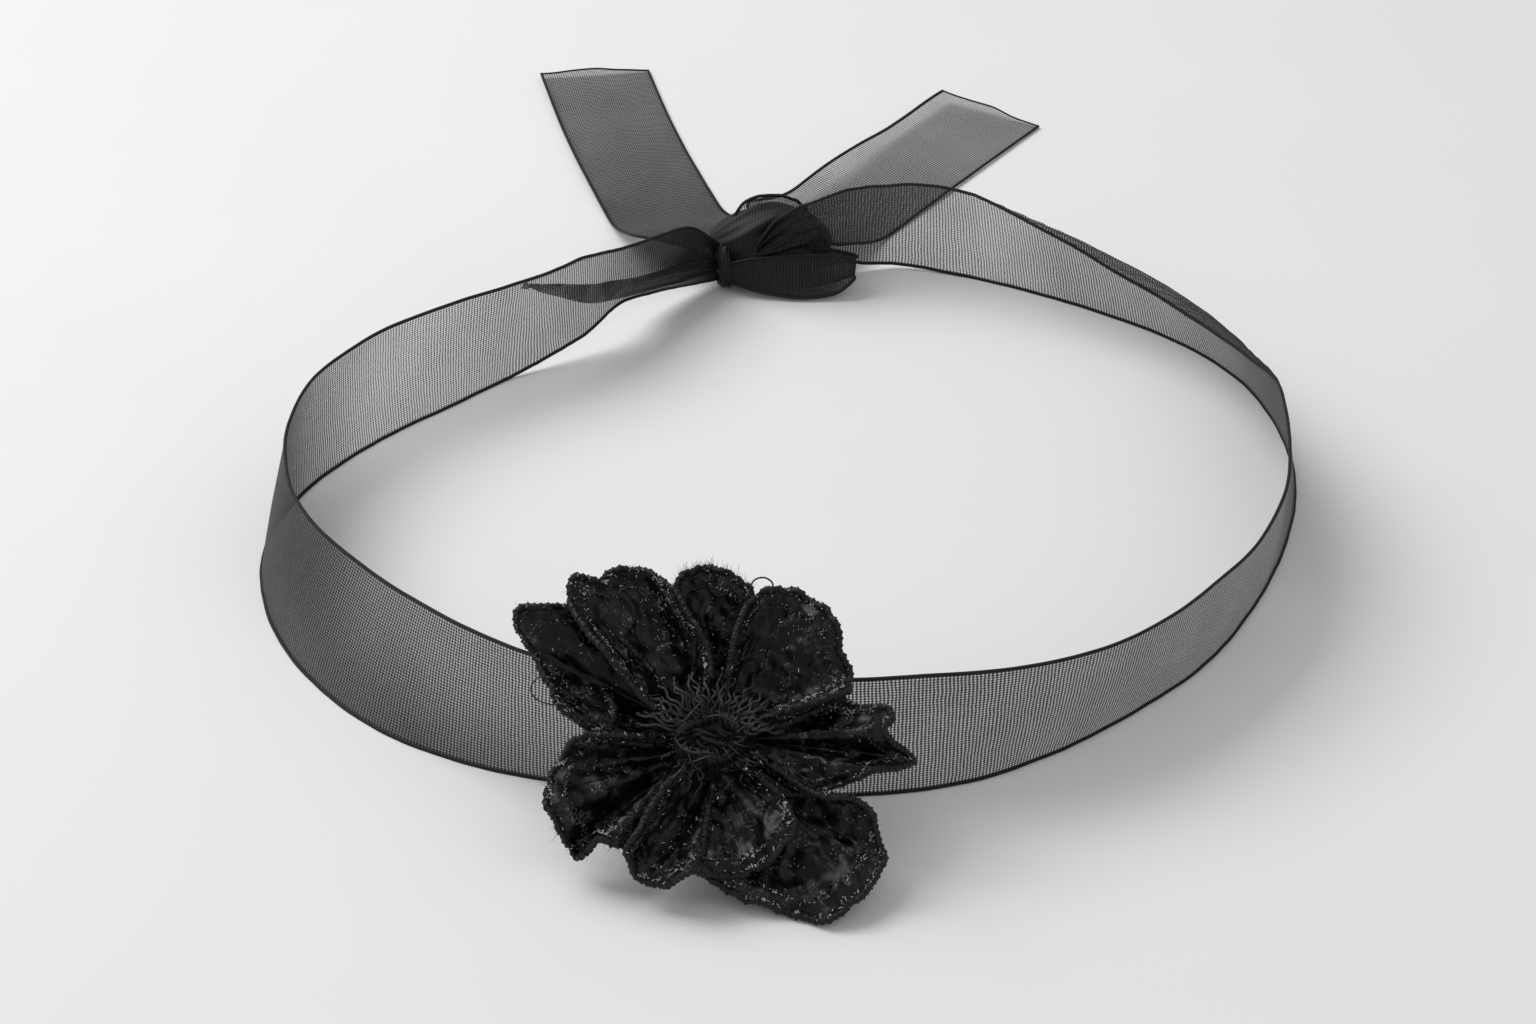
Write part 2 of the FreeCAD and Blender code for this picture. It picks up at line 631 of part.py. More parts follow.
def make_flower_discs():
    """Make the sewn base in front of the ribbon and the backing disc behind it."""
    along_ribbon = Rotation(Vector(0, 0, 1), RIBBON_FRONT_HEADING)
    to_back = along_ribbon.multiply(Rotation(Vector(1, 0, 0), -90.0))
    to_front = along_ribbon.multiply(Rotation(Vector(1, 0, 0), 90.0))
    half_wall = size("ribbon_wall") / 2
    base_y = RIBBON_FRONT_Y - half_wall - DISC_CLEARANCE
    backing_y = RIBBON_FRONT_Y + half_wall + BACKING_CLEARANCE
    base_place = Vector(FLOWER_HEART.x, base_y, FLOWER_HEART.z - BASE_DROP)
    backing_place = Vector(FLOWER_HEART.x, backing_y, size("ribbon_width") / 2)
    return [
        turned_disc("flower_base", "base_radius", "base_wall", Placement(base_place, to_front)),
        turned_disc("backing_disc", "backing_radius", "backing_wall", Placement(backing_place, to_back)),
    ]


# ---------------------------------------------------------------- build
parts = [
    make_band(),
    make_left_gather(),
    make_right_gather(),
    make_wrap(),
    make_core(),
    make_upper_fold(),
    make_flap(),
    make_tail("left_tail", LEFT_TAIL_ROOT, LEFT_TAIL_HEADING, "left_tail_length"),
    make_tail("right_tail", RIGHT_TAIL_ROOT, RIGHT_TAIL_HEADING, "right_tail_length"),
    make_coil(),
    make_stamens(),
    make_sewing_threads(),
]
parts += make_flower_discs()
for petal_name in PETALS:
    parts.append(make_petal(petal_name))
    parts.append(make_petal_cord(petal_name))
doc.recompute()

# ---------------------------------------------------------------- checks and export
for item in doc.Objects:
    if "Invalid" in item.State or "Error" in item.State:
        raise RuntimeError("%s did not build: %s" % (item.Label, item.State))
for part in parts:
    shape = part.Shape
    if shape.isNull() or not shape.isValid():
        raise RuntimeError("%s has no valid shape" % part.Label)
    if not shape.Solids:
        raise RuntimeError("%s has no solid" % part.Label)
    shape.exportStep("parts/%s.step" % part.Label)
    box = shape.BoundBox
    print("%-22s solids %2d volume %8.1f  z %6.2f to %6.2f  y %7.2f to %7.2f" % (
        part.Label, len(shape.Solids), shape.Volume, box.ZMin, box.ZMax, box.YMin, box.YMax))
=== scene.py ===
"""Looks of a knotted ribbon headband: a sheer ribbon loop, a soft knot with two tails, and a corded flower.

Sizes and places are in millimetres in the headband's own frame, and become metres when a mesh is made.
"""
import logging
import math
from collections.abc import Sequence
from dataclasses import dataclass, field
from enum import Enum

import bmesh
import bpy
import numpy as np
from mathutils import Matrix, Vector, noise


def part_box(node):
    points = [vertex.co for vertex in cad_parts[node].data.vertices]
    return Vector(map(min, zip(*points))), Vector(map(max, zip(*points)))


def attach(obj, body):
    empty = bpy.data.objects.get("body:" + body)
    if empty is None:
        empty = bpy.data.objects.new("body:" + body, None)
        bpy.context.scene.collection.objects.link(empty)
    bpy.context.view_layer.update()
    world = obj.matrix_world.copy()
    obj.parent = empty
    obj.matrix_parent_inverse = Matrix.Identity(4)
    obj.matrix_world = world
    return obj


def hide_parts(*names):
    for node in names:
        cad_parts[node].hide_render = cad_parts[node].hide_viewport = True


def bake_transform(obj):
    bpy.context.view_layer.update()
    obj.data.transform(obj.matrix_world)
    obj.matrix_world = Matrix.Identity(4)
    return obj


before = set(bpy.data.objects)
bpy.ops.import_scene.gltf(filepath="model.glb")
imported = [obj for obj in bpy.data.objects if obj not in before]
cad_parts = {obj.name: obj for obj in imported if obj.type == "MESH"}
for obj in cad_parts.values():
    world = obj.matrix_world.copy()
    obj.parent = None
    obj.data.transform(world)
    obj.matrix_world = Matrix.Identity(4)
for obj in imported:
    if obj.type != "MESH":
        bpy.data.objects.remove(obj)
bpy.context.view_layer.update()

MM = 0.001
PATH_STEPS = 16
RIBBON_WIDTH = 25.0
SELVEDGE_RADIUS = 0.34
EDGE_COVER = 0.2
BODY = "headband"
log = logging.getLogger("headband")


class Slot(Enum):
    """The record's material slots."""

    ORGANZA = "organza"
    SATIN = "petal_satin"
    CORD = "edge_cord"
    THREAD = "thread"
    FELT = "felt"


# ---------------------------------------------------------------- lines and cloth
class Path:
    """A smooth line through a few given points, which may carry more columns than x, y and z."""

    def __init__(self, points: Sequence[Sequence[float]], before: Sequence[float] | None = None,
                 after: Sequence[float] | None = None) -> None:
        """Draw the line.

        Args:
            points: The points that the line passes through.
            before: A point ahead of the first, which only steers the start.
            after: A point past the last, which only steers the end.
        """
        inner = np.array(points, float)
        ahead = 2 * inner[0] - inner[1] if before is None else np.array(before, float)
        past = 2 * inner[-1] - inner[-2] if after is None else np.array(after, float)
        knots = np.vstack([ahead, inner, past])
        step = np.linspace(0.0, 1.0, PATH_STEPS, endpoint=False)[:, None]
        spans = []
        for first, start, end, last in zip(knots, knots[1:], knots[2:], knots[3:]):
            bend = (2 * first - 5 * start + 4 * end - last) * step ** 2
            twist = (3 * start - first - 3 * end + last) * step ** 3
            spans.append(0.5 * (2 * start + (end - first) * step + bend + twist))
        self.line = np.vstack([*spans, inner[-1:]])
        lengths = np.linalg.norm(np.diff(self.line[:, :3], axis=0), axis=1)
        self.distance = np.concatenate([[0.0], np.cumsum(lengths)])

    @property
    def length(self) -> float:
        """Length of the line."""
        return float(self.distance[-1])

    def at(self, shares: np.ndarray) -> np.ndarray:
        """Read the line at shares of its length.

        Args:
            shares: Values from 0 at the start to 1 at the end.

        Returns:
            One row of columns for each share.
        """
        wanted = np.asarray(shares, float) * self.length
        return np.stack([np.interp(wanted, self.distance, column) for column in self.line.T], -1)

    def at_points(self, shares: np.ndarray) -> np.ndarray:
        """Read the line at shares of its count of points, so that several lines keep step with each other."""
        wanted = np.asarray(shares, float) * (len(self.line) - 1)
        index = np.arange(len(self.line))
        return np.stack([np.interp(wanted, index, column) for column in self.line.T], -1)


def unit(vectors: np.ndarray) -> np.ndarray:
    """Scale vectors to length one."""
    return vectors / np.maximum(np.linalg.norm(vectors, axis=-1, keepdims=True), 1e-9)


def ease(values: np.ndarray, start: float, end: float) -> np.ndarray:
    """Rise smoothly from 0 at start to 1 at end."""
    share = np.clip((np.asarray(values, float) - start) / (end - start), 0.0, 1.0)
    return share * share * (3 - 2 * share)


def ripple(values: np.ndarray, seed: int, waves: float) -> np.ndarray:
    """Sum three uneven sine waves into a gentle repeatable wander between about -1 and 1.

    Args:
        values: Where to read the wander.
        seed: Chooses the phases.
        waves: How many slow waves fit in one unit.

    Returns:
        The wander at each value.
    """
    phases = np.random.default_rng(seed).uniform(0, math.tau, 3)
    total = np.zeros_like(np.asarray(values, float))
    for octave, phase in enumerate(phases):
        angle = np.asarray(values) * math.tau * waves * (1.0 + 0.83 * octave) + phase
        total += np.sin(angle) / (1.4 + octave)
    return total * 0.62


def grid_mesh(name: str, points: np.ndarray, run_from: float = 0.0,
              run_way: float = 1.0) -> bmesh.types.BMesh:
    """Bend a flat grid so that its corners lie at the given points.

    Args:
        name: Name used in messages.
        points: Array of places, shaped (along, across, 3), in millimetres.
        run_from: Where the cloth map starts along the ribbon, in millimetres.
        run_way: 1 if the map grows along the points and -1 if it shrinks.

    Returns:
        The bent grid in metres, with a UV map in millimetres of cloth.
    """
    along, across = points.shape[:2]
    mesh = bmesh.new()
    bmesh.ops.create_grid(mesh, x_segments=along - 1, y_segments=across - 1, size=0.5)
    run = np.linalg.norm(np.diff(points, axis=0), axis=2).mean(axis=1)
    rise = np.linalg.norm(np.diff(points, axis=1), axis=2)
    u = run_from + run_way * np.concatenate([[0.0], np.cumsum(run)])
    v = np.concatenate([np.zeros((along, 1)), np.cumsum(rise, axis=1)], axis=1)
    cells = {}
    for vert in mesh.verts:
        i = round((vert.co.x + 0.5) * (along - 1))
        j = round((vert.co.y + 0.5) * (across - 1))
        cells[vert] = (i, j)
    layer = mesh.loops.layers.uv.new("cloth")
    for face in mesh.faces:
        for loop in face.loops:
            i, j = cells[loop.vert]
            loop[layer].uv = (u[i], v[i, j])
        face.smooth = True
    for vert, (i, j) in cells.items():
        vert.co = Vector(points[i, j]) * MM
    log.debug("%s: %d faces", name, len(mesh.faces))
    return mesh


def to_piece(name: str, mesh: bmesh.types.BMesh, finish: bpy.types.Material) -> bpy.types.Object:
    """Turn a bmesh into an object of the scene.

    Args:
        name: The piece's name.
        mesh: The shape, which is freed.
        finish: Its material.

    Returns:
        The object, at the origin.
    """
    data = bpy.data.meshes.new(name)
    mesh.to_mesh(data)
    mesh.free()
    return dress(name, data, finish)


def dress(name: str, data: bpy.types.Mesh, finish: bpy.types.Material) -> bpy.types.Object:
    """Link a mesh as a piece, smooth it and give it its material and slot."""
    data.polygons.foreach_set("use_smooth", [True] * len(data.polygons))
    data.materials.clear()
    data.materials.append(finish)
    piece = bpy.data.objects.new(name, data)
    bpy.context.scene.collection.objects.link(piece)
    return piece


def threads(name: str, strands: Sequence[np.ndarray], radius: float, finish: bpy.types.Material,
            taper: bool = False, round_steps: int = 0) -> bpy.types.Object:
    """Make many round threads as one piece.

    Args:
        name: The piece's name.
        strands: Each thread's points, in millimetres.
        radius: Thread radius in millimetres.
        finish: Material.
        taper: Whether each thread thins to a fine tip.
        round_steps: Extra steps round the thread, 0 for a square one.

    Returns:
        The piece.
    """
    curve = bpy.data.curves.new(name, "CURVE")
    curve.dimensions = "3D"
    curve.bevel_depth = radius * MM
    curve.bevel_resolution = round_steps
    curve.use_fill_caps = True
    for strand in strands:
        count = len(strand)
        spline = curve.splines.new("POLY")
        spline.points.add(count - 1)
        spline.points.foreach_set("co", np.hstack([strand * MM, np.ones((count, 1))]).ravel())
        if taper:
            spline.points.foreach_set("radius", np.linspace(1.0, 0.25, count))
    holder = bpy.data.objects.new(name + "_line", curve)
    data = bpy.data.meshes.new_from_object(holder)
    data.name = name
    bpy.data.objects.remove(holder)
    bpy.data.curves.remove(curve)
    return dress(name, data, finish)


def wound(line: np.ndarray, radius: float, pitch: float, steps: int = 7, phase: float = 0.0) -> np.ndarray:
    """Wind a thread round a line.

    Args:
        line: The core's points.
        radius: Distance from the core's middle.
        pitch: Length of core that one turn covers.
        steps: Points in one turn.
        phase: Where the first turn starts, in radians.

    Returns:
        The winding thread's points.
    """
    core = Path(line)
    turns = core.length / pitch
    shares = np.linspace(0.0, 1.0, max(8, int(turns * steps)))
    middle = core.at(shares)
    forward = unit(np.gradient(middle, axis=0))
    side = np.zeros_like(middle)
    side[0] = unit(np.cross(forward[0], [0.3, 0.2, 0.9]))
    for index in range(1, len(middle)):
        carried = side[index - 1] - forward[index] * np.dot(side[index - 1], forward[index])
        side[index] = unit(carried)
    up = np.cross(forward, side)
    angle = (shares * turns * math.tau + phase)[:, None]
    return middle + radius * (np.cos(angle) * side + np.sin(angle) * up)


# ---------------------------------------------------------------- finishes
class Value:
    """One shader value; Python's operators on it add Math nodes."""

    def __init__(self, tree: "NodeTree", socket: bpy.types.NodeSocket) -> None:
        """Wrap an output socket of a tree."""
        self.tree = tree
        self.socket = socket

    def _math(self, operation: str, *operands: "Value | float") -> "Value":
        """Add one Math node with these operands."""
        inputs = {index: operand for index, operand in enumerate(operands)}
        return self.tree.node("ShaderNodeMath", {"operation": operation}, inputs).value()

    def __add__(self, other: "Value | float") -> "Value":
        """Add."""
        return self._math("ADD", self, other)

    __radd__ = __add__

    def __sub__(self, other: "Value | float") -> "Value":
        """Subtract."""
        return self._math("SUBTRACT", self, other)

    def __rsub__(self, other: "Value | float") -> "Value":
        """Subtract this from a number."""
        return self._math("SUBTRACT", other, self)

    def __mul__(self, other: "Value | float") -> "Value":
        """Multiply."""
        return self._math("MULTIPLY", self, other)

    __rmul__ = __mul__

    def sine(self) -> "Value":
        """Sine of an angle in radians."""
        return self._math("SINE", self)

    def size(self) -> "Value":
        """Distance from 0."""
        return self._math("ABSOLUTE", self)

    def most(self, other: "Value | float") -> "Value":
        """The larger of two values."""
        return self._math("MAXIMUM", self, other)

    def least(self, other: "Value | float") -> "Value":
        """The smaller of two values."""
        return self._math("MINIMUM", self, other)


class Node:
    """A shader node whose outputs are read by name."""

    def __init__(self, tree: "NodeTree", node: bpy.types.Node) -> None:
        """Wrap a node of a tree."""
        self.tree = tree
        self.node = node

    def value(self, name: str | int = 0) -> Value:
        """One output as a value."""
        return Value(self.tree, self.node.outputs[name])


class NodeTree:
    """A material's node tree with short ways to add nodes."""

    def __init__(self, name: str) -> None:
        """Make a material with only its output and its main shader."""
        self.material = bpy.data.materials.new(name)
        self.material.use_nodes = True
        self.tree = self.material.node_tree
        self.tree.nodes.clear()
        self.surface = self.node("ShaderNodeBsdfPrincipled", {}, {})
        output = self.node("ShaderNodeOutputMaterial", {}, {})
        self.tree.links.new(self.surface.node.outputs[0], output.node.inputs["Surface"])

    def node(self, kind: str, settings: dict[str, object], inputs: dict[str | int, object]) -> Node:
        """Add a node.

        Args:
            kind: Blender's name of the node's type.
            settings: Its properties, set first; "stops" holds a ramp's positions and colours.
            inputs: Values or links for its sockets, by name or number.

        Returns:
            The node.
        """
        made = self.tree.nodes.new(kind)
        for key, setting in settings.items():
            if key == "stops":
                ramp = made.color_ramp
                while len(ramp.elements) < len(setting):
                    ramp.elements.new(0.5)
                for element, (position, colour) in zip(ramp.elements, setting):
                    element.position = position
                    element.color = (*colour, 1.0)
            else:
                setattr(made, key, setting)
        for key, given in inputs.items():
            if isinstance(given, Value):
                self.tree.links.new(given.socket, made.inputs[key])
            else:
                made.inputs[key].default_value = given
        return Node(self, made)

    def set(self, **inputs: object) -> None:
        """Set or link the main shader's sockets; an underscore stands for a space."""
        for key, given in inputs.items():
            socket = self.surface.node.inputs[key.replace("_", " ")]
            if isinstance(given, Value):
                self.tree.links.new(given.socket, socket)
            else:
                socket.default_value = given

    def place(self) -> Value:
        """The piece's own coordinates, in metres."""
        return self.node("ShaderNodeTexCoord", {}, {}).value("Object")

    def noise(self, place: Value, size: float, detail: float = 3.0, rough: float = 0.55) -> Value:
        """Noise whose lumps are about the given size in millimetres, from 0 to 1."""
        inputs = {"Vector": place, "Scale": 1.0 / (size * MM), "Detail": detail, "Roughness": rough}
        return self.node("ShaderNodeTexNoise", {}, inputs).value(0)

    def colours(self, share: Value, *stops: tuple[float, tuple[float, float, float]]) -> Value:
        """A colour picked from a ramp by a value."""
        return self.node("ShaderNodeValToRGB", {"stops": stops}, {"Fac": share}).value(0)

    def bump(self, height: Value, depth: float) -> Value:
        """A normal bent by a height from 0 to 1 that stands for depth millimetres."""
        inputs = {"Height": height, "Distance": depth * MM, "Strength": 1.0}
        return self.node("ShaderNodeBump", {}, inputs).value(0)


@dataclass(frozen=True)
class Organza:
    """Sheer ribbon: crosswise ribs over fine lengthwise threads, closer woven where it is gathered, and
    denser along the front of the loop as painted shade.
    """

    name: str = "organza"
    rib_pitch: float = 0.66
    rib_depth: float = 0.26
    thread_pitch: float = 0.52
    thread_depth: float = 0.20
    slub: float = 0.22

    def build(self) -> bpy.types.Material:
        """Make the material; it reads the cloth UV map and the density of each piece."""
        tree = NodeTree(self.name)
        cloth = tree.node("ShaderNodeUVMap", {"uv_map": "cloth"}, {}).value()
        parts = tree.node("ShaderNodeSeparateXYZ", {}, {"Vector": cloth})
        density = tree.node("ShaderNodeAttribute", {"attribute_name": "cover"}, {}).value("Fac")
        wander = tree.node("ShaderNodeTexNoise", {}, {"Vector": cloth, "Scale": 0.22, "Detail": 4.0}).value(0)
        fine = tree.node("ShaderNodeTexNoise", {}, {"Vector": cloth, "Scale": 1.9, "Detail": 5.0}).value(0)
        cloud = tree.node("ShaderNodeTexNoise", {}, {"Vector": cloth, "Scale": 0.06, "Detail": 3.0}).value(0)
        along = parts.value("X") + (wander - 0.5) * 0.7 + (fine - 0.5) * 0.16
        across = parts.value("Y") + (fine - 0.5) * 0.1
        rib = (along * (math.tau / self.rib_pitch)).sine()
        thread = (across * (math.tau / self.thread_pitch)).sine()
        weave = rib * self.rib_depth * (fine * 1.3 + 0.35) + thread * self.thread_depth
        open_weave = ((1.0 - density) * 6.0).least(1.0)
        # Alpha follows the stored cover: real layers where the cloth is gathered, and painted shade along the
        # front of the loop.
        alpha = weave * open_weave + (fine - 0.5) * self.slub * open_weave + (cloud - 0.5) * 0.16 + density
        stops = ((0.3, (0.003, 0.003, 0.0035)), (0.8, (0.020, 0.0195, 0.022)))
        grey = tree.colours(rib * 0.3 + fine * 0.7, *stops)
        tree.set(Base_Color=grey, Alpha=alpha.least(0.995).most(0.05), Roughness=fine * 0.3 + 0.42,
                 Normal=tree.bump(rib * 0.4 + thread * 0.2 + 0.5, 0.05))
        tree.set(Sheen_Weight=0.04, Sheen_Roughness=0.4, Specular_IOR_Level=0.3)
        return tree.material


@dataclass(frozen=True)
class Satin:
    """Black petal satin: fine ribs, lighter patches of painted sheen and scattered thread floats whose light
    grey colour is a painted highlight.
    """

    name: str = "petal_satin"
    dark: tuple[float, float, float] = (0.0008, 0.0008, 0.0010)
    painted_sheen: tuple[float, float, float] = (0.0105, 0.0105, 0.0118)
    painted_glint_colour: tuple[float, float, float] = (0.13, 0.13, 0.14)

    def build(self) -> bpy.types.Material:
        """Make the material."""
        tree = NodeTree(self.name)
        place = tree.place()
        mottle = tree.noise(place, 3.2, 6.0, 0.62)
        grain = tree.noise(place, 0.42, 4.0, 0.7)
        patch = tree.noise(place, 7.0, 3.0)
        curl = tree.noise(place, 1.15, 1.5, 0.5)
        weft = tree.noise(place, 0.55, 1.0, 0.5)
        worm = (1 - (curl - 0.5).size() * 26.0).most(0.0) + (1 - (weft - 0.5).size() * 16.0).most(0.0) * 0.6
        # Painted highlight: thread-shaped floats where the mottle is high take a light grey base colour,
        # standing for glints on the satin.
        painted_glint = worm * ((mottle - 0.54).most(0.0) * 12.0).least(1.0)
        # Painted sheen: the base colour rises from near black to a lighter grey where the mottle and the
        # broad patch noise are high.
        base = tree.colours(mottle * 0.4 + grain * 0.22 + patch * 0.38, (0.46, self.dark), (0.68, self.painted_sheen))
        mix = tree.node("ShaderNodeMix", {"data_type": "RGBA"}, {"Factor": painted_glint.least(1.0) * 0.8})
        tree.tree.links.new(base.socket, mix.node.inputs["A"])
        mix.node.inputs["B"].default_value = (*self.painted_glint_colour, 1.0)
        colour = Value(tree, mix.node.outputs["Result"])
        rough = 0.16 + patch * 0.26 + grain * 0.06
        height = grain * 0.35 + mottle * 0.65 + painted_glint.least(1.0) * 0.4
        tree.set(Base_Color=colour, Roughness=rough, Normal=tree.bump(height, 0.15))
        tree.set(Specular_IOR_Level=0.24)
        return tree.material


@dataclass(frozen=True)
class Yarn:
    """Black twisted thread, from a matt edge cord to a polished stamen thread."""

    name: str
    dark: tuple[float, float, float]
    light: tuple[float, float, float]
    roughness: float
    sheen: float

    def build(self) -> bpy.types.Material:
        """Make the material."""
        tree = NodeTree(self.name)
        place = tree.place()
        fibre = tree.noise(place, 0.30, 4.0, 0.7)
        patch = tree.noise(place, 2.5, 3.0)
        colour = tree.colours(fibre * 0.55 + patch * 0.45, (0.36, self.dark), (0.68, self.light))
        tree.set(Base_Color=colour, Roughness=fibre * 0.25 + (self.roughness - 0.1),
                 Normal=tree.bump(fibre, 0.12))
        tree.set(Sheen_Weight=self.sheen, Sheen_Roughness=0.4, Specular_IOR_Level=0.3)
        return tree.material


@dataclass(frozen=True)
class Felt:
    """Pressed black felt with matted fibres."""

    name: str = "felt"

    def build(self) -> bpy.types.Material:
        """Make the material."""
        tree = NodeTree(self.name)
        place = tree.place()
        fibre = tree.noise(place, 0.5, 8.0, 0.75)
        mat = tree.noise(place, 2.2, 4.0)
        stops = ((0.35, (0.0015, 0.0015, 0.0018)), (0.7, (0.009, 0.009, 0.010)))
        colour = tree.colours(fibre * 0.6 + mat * 0.4, *stops)
        tree.set(Base_Color=colour, Roughness=fibre * 0.15 + 0.8, Normal=tree.bump(fibre, 0.35))
        tree.set(Sheen_Weight=0.03, Sheen_Roughness=0.6, Specular_IOR_Level=0.15)
        return tree.material


@dataclass
class Finishes:
    """Every material of the headband, made once."""

    organza: bpy.types.Material = field(default_factory=lambda: Organza().build())
    satin: bpy.types.Material = field(default_factory=lambda: Satin().build())
    cord: bpy.types.Material = field(default_factory=lambda: Yarn(
        "edge_cord", (0.0014, 0.0014, 0.0017), (0.009, 0.009, 0.0105), 0.36, 0.0).build())
    thread: bpy.types.Material = field(default_factory=lambda: Yarn(
        "polished_thread", (0.002, 0.002, 0.0024), (0.042, 0.042, 0.046), 0.24, 0.0).build())
    # Light grey thread whose colour stands for painted highlights on the petals.
    painted_highlight: bpy.types.Material = field(default_factory=lambda: Yarn(
        "painted_highlight_thread", (0.03, 0.03, 0.034), (0.80, 0.80, 0.83), 0.25, 0.0).build())
    selvedge: bpy.types.Material = field(default_factory=lambda: Yarn(
        "selvedge", (0.0015, 0.0015, 0.002), (0.008, 0.008, 0.009), 0.55, 0.0).build())
    felt: bpy.types.Material = field(default_factory=lambda: Felt().build())


# ---------------------------------------------------------------- ribbon
def set_density(piece: bpy.types.Object, density: np.ndarray) -> None:
    """Store how much of the cloth's area its threads cover, for every vertex of a grid piece; along the loop
    the value also carries painted shade.

    Args:
        piece: The piece.
        density: One value for each vertex, or an array shaped (along, across) for a grid piece.
    """
    values = density.ravel()[grid_order(*density.shape)] if density.ndim == 2 else density
    attribute = piece.data.attributes.new("cover", "FLOAT", "POINT")
    attribute.data.foreach_set("value", values.astype(np.float32))


@dataclass
class RibbonSheet:
    """One stretch of ribbon, given by matching lines from its lower edge to its upper edge."""

    name: str
    rows: Sequence[Sequence[Sequence[float]]]
    row_shares: Sequence[float]
    density: Sequence[float]
    along_steps: int = 120
    across_steps: int = 24
    wave: float = 0.35
    pleats: float = 0.0
    pleat_count: float = 5.0
    pleat_start: float = 0.5
    pleat_end: float = 1.0
    seed: int = 1
    before: Sequence[Sequence[float]] | None = None
    after: Sequence[Sequence[float]] | None = None
    seam: np.ndarray | None = None
    seam_shares: Sequence[float] | None = None
    loop_length: float = 0.0

    def surface(self) -> np.ndarray:
        """Work out the cloth's places.

        Returns:
            Array shaped (along, across, 3).
        """
        shares = np.linspace(0.0, 1.0, self.along_steps + 1)
        ends = range(len(self.rows))
        before = self.before if self.before is not None else [None for _ in ends]
        after = self.after if self.after is not None else [None for _ in ends]
        lines = [Path(*given).at_points(shares) for given in zip(self.rows, before, after)]
        lines = np.stack(lines, axis=1)
        across = np.linspace(0.0, 1.0, self.across_steps + 1)
        first = np.array(self.row_shares if self.seam_shares is None else self.seam_shares)
        settled = ease(shares, 0.0, 0.5)[:, None]
        knots = first + (np.array(self.row_shares) - first) * settled
        count = np.linspace(0.0, 1.0, len(self.rows))
        if len(self.rows) == 2:
            cloth = lines[:, :1] + (lines[:, 1:] - lines[:, :1]) * across[None, :, None]
        else:
            cloth = np.stack([Path(section).at_points(np.interp(across, knot, count))
                              for section, knot in zip(lines, knots)])
        forward = unit(np.gradient(cloth, axis=0))
        sideways = unit(np.gradient(cloth, axis=1))
        normal = unit(np.cross(forward, sideways))
        slow = ripple(shares, self.seed, 3.0)[:, None] * np.sin(across * math.pi * 1.5 + 0.4)[None]
        fine = ripple(shares, self.seed + 7, 11.0)[:, None] * ripple(across, self.seed + 9, 1.3)[None]
        cloth = cloth + normal * (self.wave * (slow + 0.35 * fine))[..., None]
        if self.pleats:
            grow = ease(shares, self.pleat_start, self.pleat_end)[:, None]
            phase = across[None] * math.tau * self.pleat_count + ripple(shares, self.seed + 3, 1.0)[:, None]
            cloth = cloth + normal * (self.pleats * grow * np.sin(phase))[..., None]
        return cloth if self.seam is None else self.meet_seam(cloth, shares)

    def meet_seam(self, cloth: np.ndarray, shares: np.ndarray) -> np.ndarray:
        """Ease the cloth onto the row of its neighbour that it joins.

        Args:
            cloth: Places shaped (along, across, 3).
            shares: Share of the length at each row.

        Returns:
            The places with no step at the joint.
        """
        at_end = self.after is not None
        wanted = Path(self.seam).at(np.linspace(0.0, 1.0, self.across_steps + 1))
        step = wanted - cloth[-1 if at_end else 0]
        fade = ease(shares, 0.86, 1.0) if at_end else 1 - ease(shares, 0.0, 0.10)
        return cloth + step[None] * fade[:, None, None]

    def density_map(self) -> np.ndarray:
        """Spread the density given along the stretch over its grid."""
        shares = np.linspace(0.0, 1.0, self.along_steps + 1)
        knots = np.linspace(0.0, 1.0, len(self.density))
        row = np.interp(shares, knots, self.density)
        density = np.repeat(row[:, None], self.across_steps + 1, axis=1)
        density[:, [0, -1]] += EDGE_COVER
        return density

    def build(self, finishes: Finishes,
              slot: Slot = Slot.ORGANZA) -> tuple[bpy.types.Object, bpy.types.Object]:
        """Make the cloth and the firm edges woven into its two sides.

        Args:
            finishes: The materials.
            slot: Not used.

        Returns:
            The cloth and its pair of selvedges.
        """
        cloth = self.surface()
        cloth[..., 2] = np.maximum(cloth[..., 2], 0.12)
        length = np.linalg.norm(np.diff(cloth, axis=0), axis=2).mean(axis=1).sum()
        start = self.loop_length + length if self.after is not None else 0.0
        mesh = grid_mesh(self.name, cloth, start, -1.0)
        piece = to_piece(self.name, mesh, finishes.organza)
        set_density(piece, self.density_map())
        edges = [cloth[:, 0], cloth[:, -1]]
        selvedges = threads(self.name + "_selvedges", edges, SELVEDGE_RADIUS, finishes.selvedge,
                            round_steps=1)
        return piece, selvedges


def grid_order(along: int, across: int) -> np.ndarray:
    """Match a grid's vertices, in the order that the grid operator makes them, to the cells of an array.

    Args:
        along: Vertices along.
        across: Vertices across.

    Returns:
        For each vertex, its flat index in an array shaped (along, across).
    """
    mesh = bmesh.new()
    bmesh.ops.create_grid(mesh, x_segments=along - 1, y_segments=across - 1, size=0.5)
    order = []
    for vert in mesh.verts:
        i = round((vert.co.x + 0.5) * (along - 1))
        j = round((vert.co.y + 0.5) * (across - 1))
        order.append(i * across + j)
    mesh.free()
    return np.array(order)


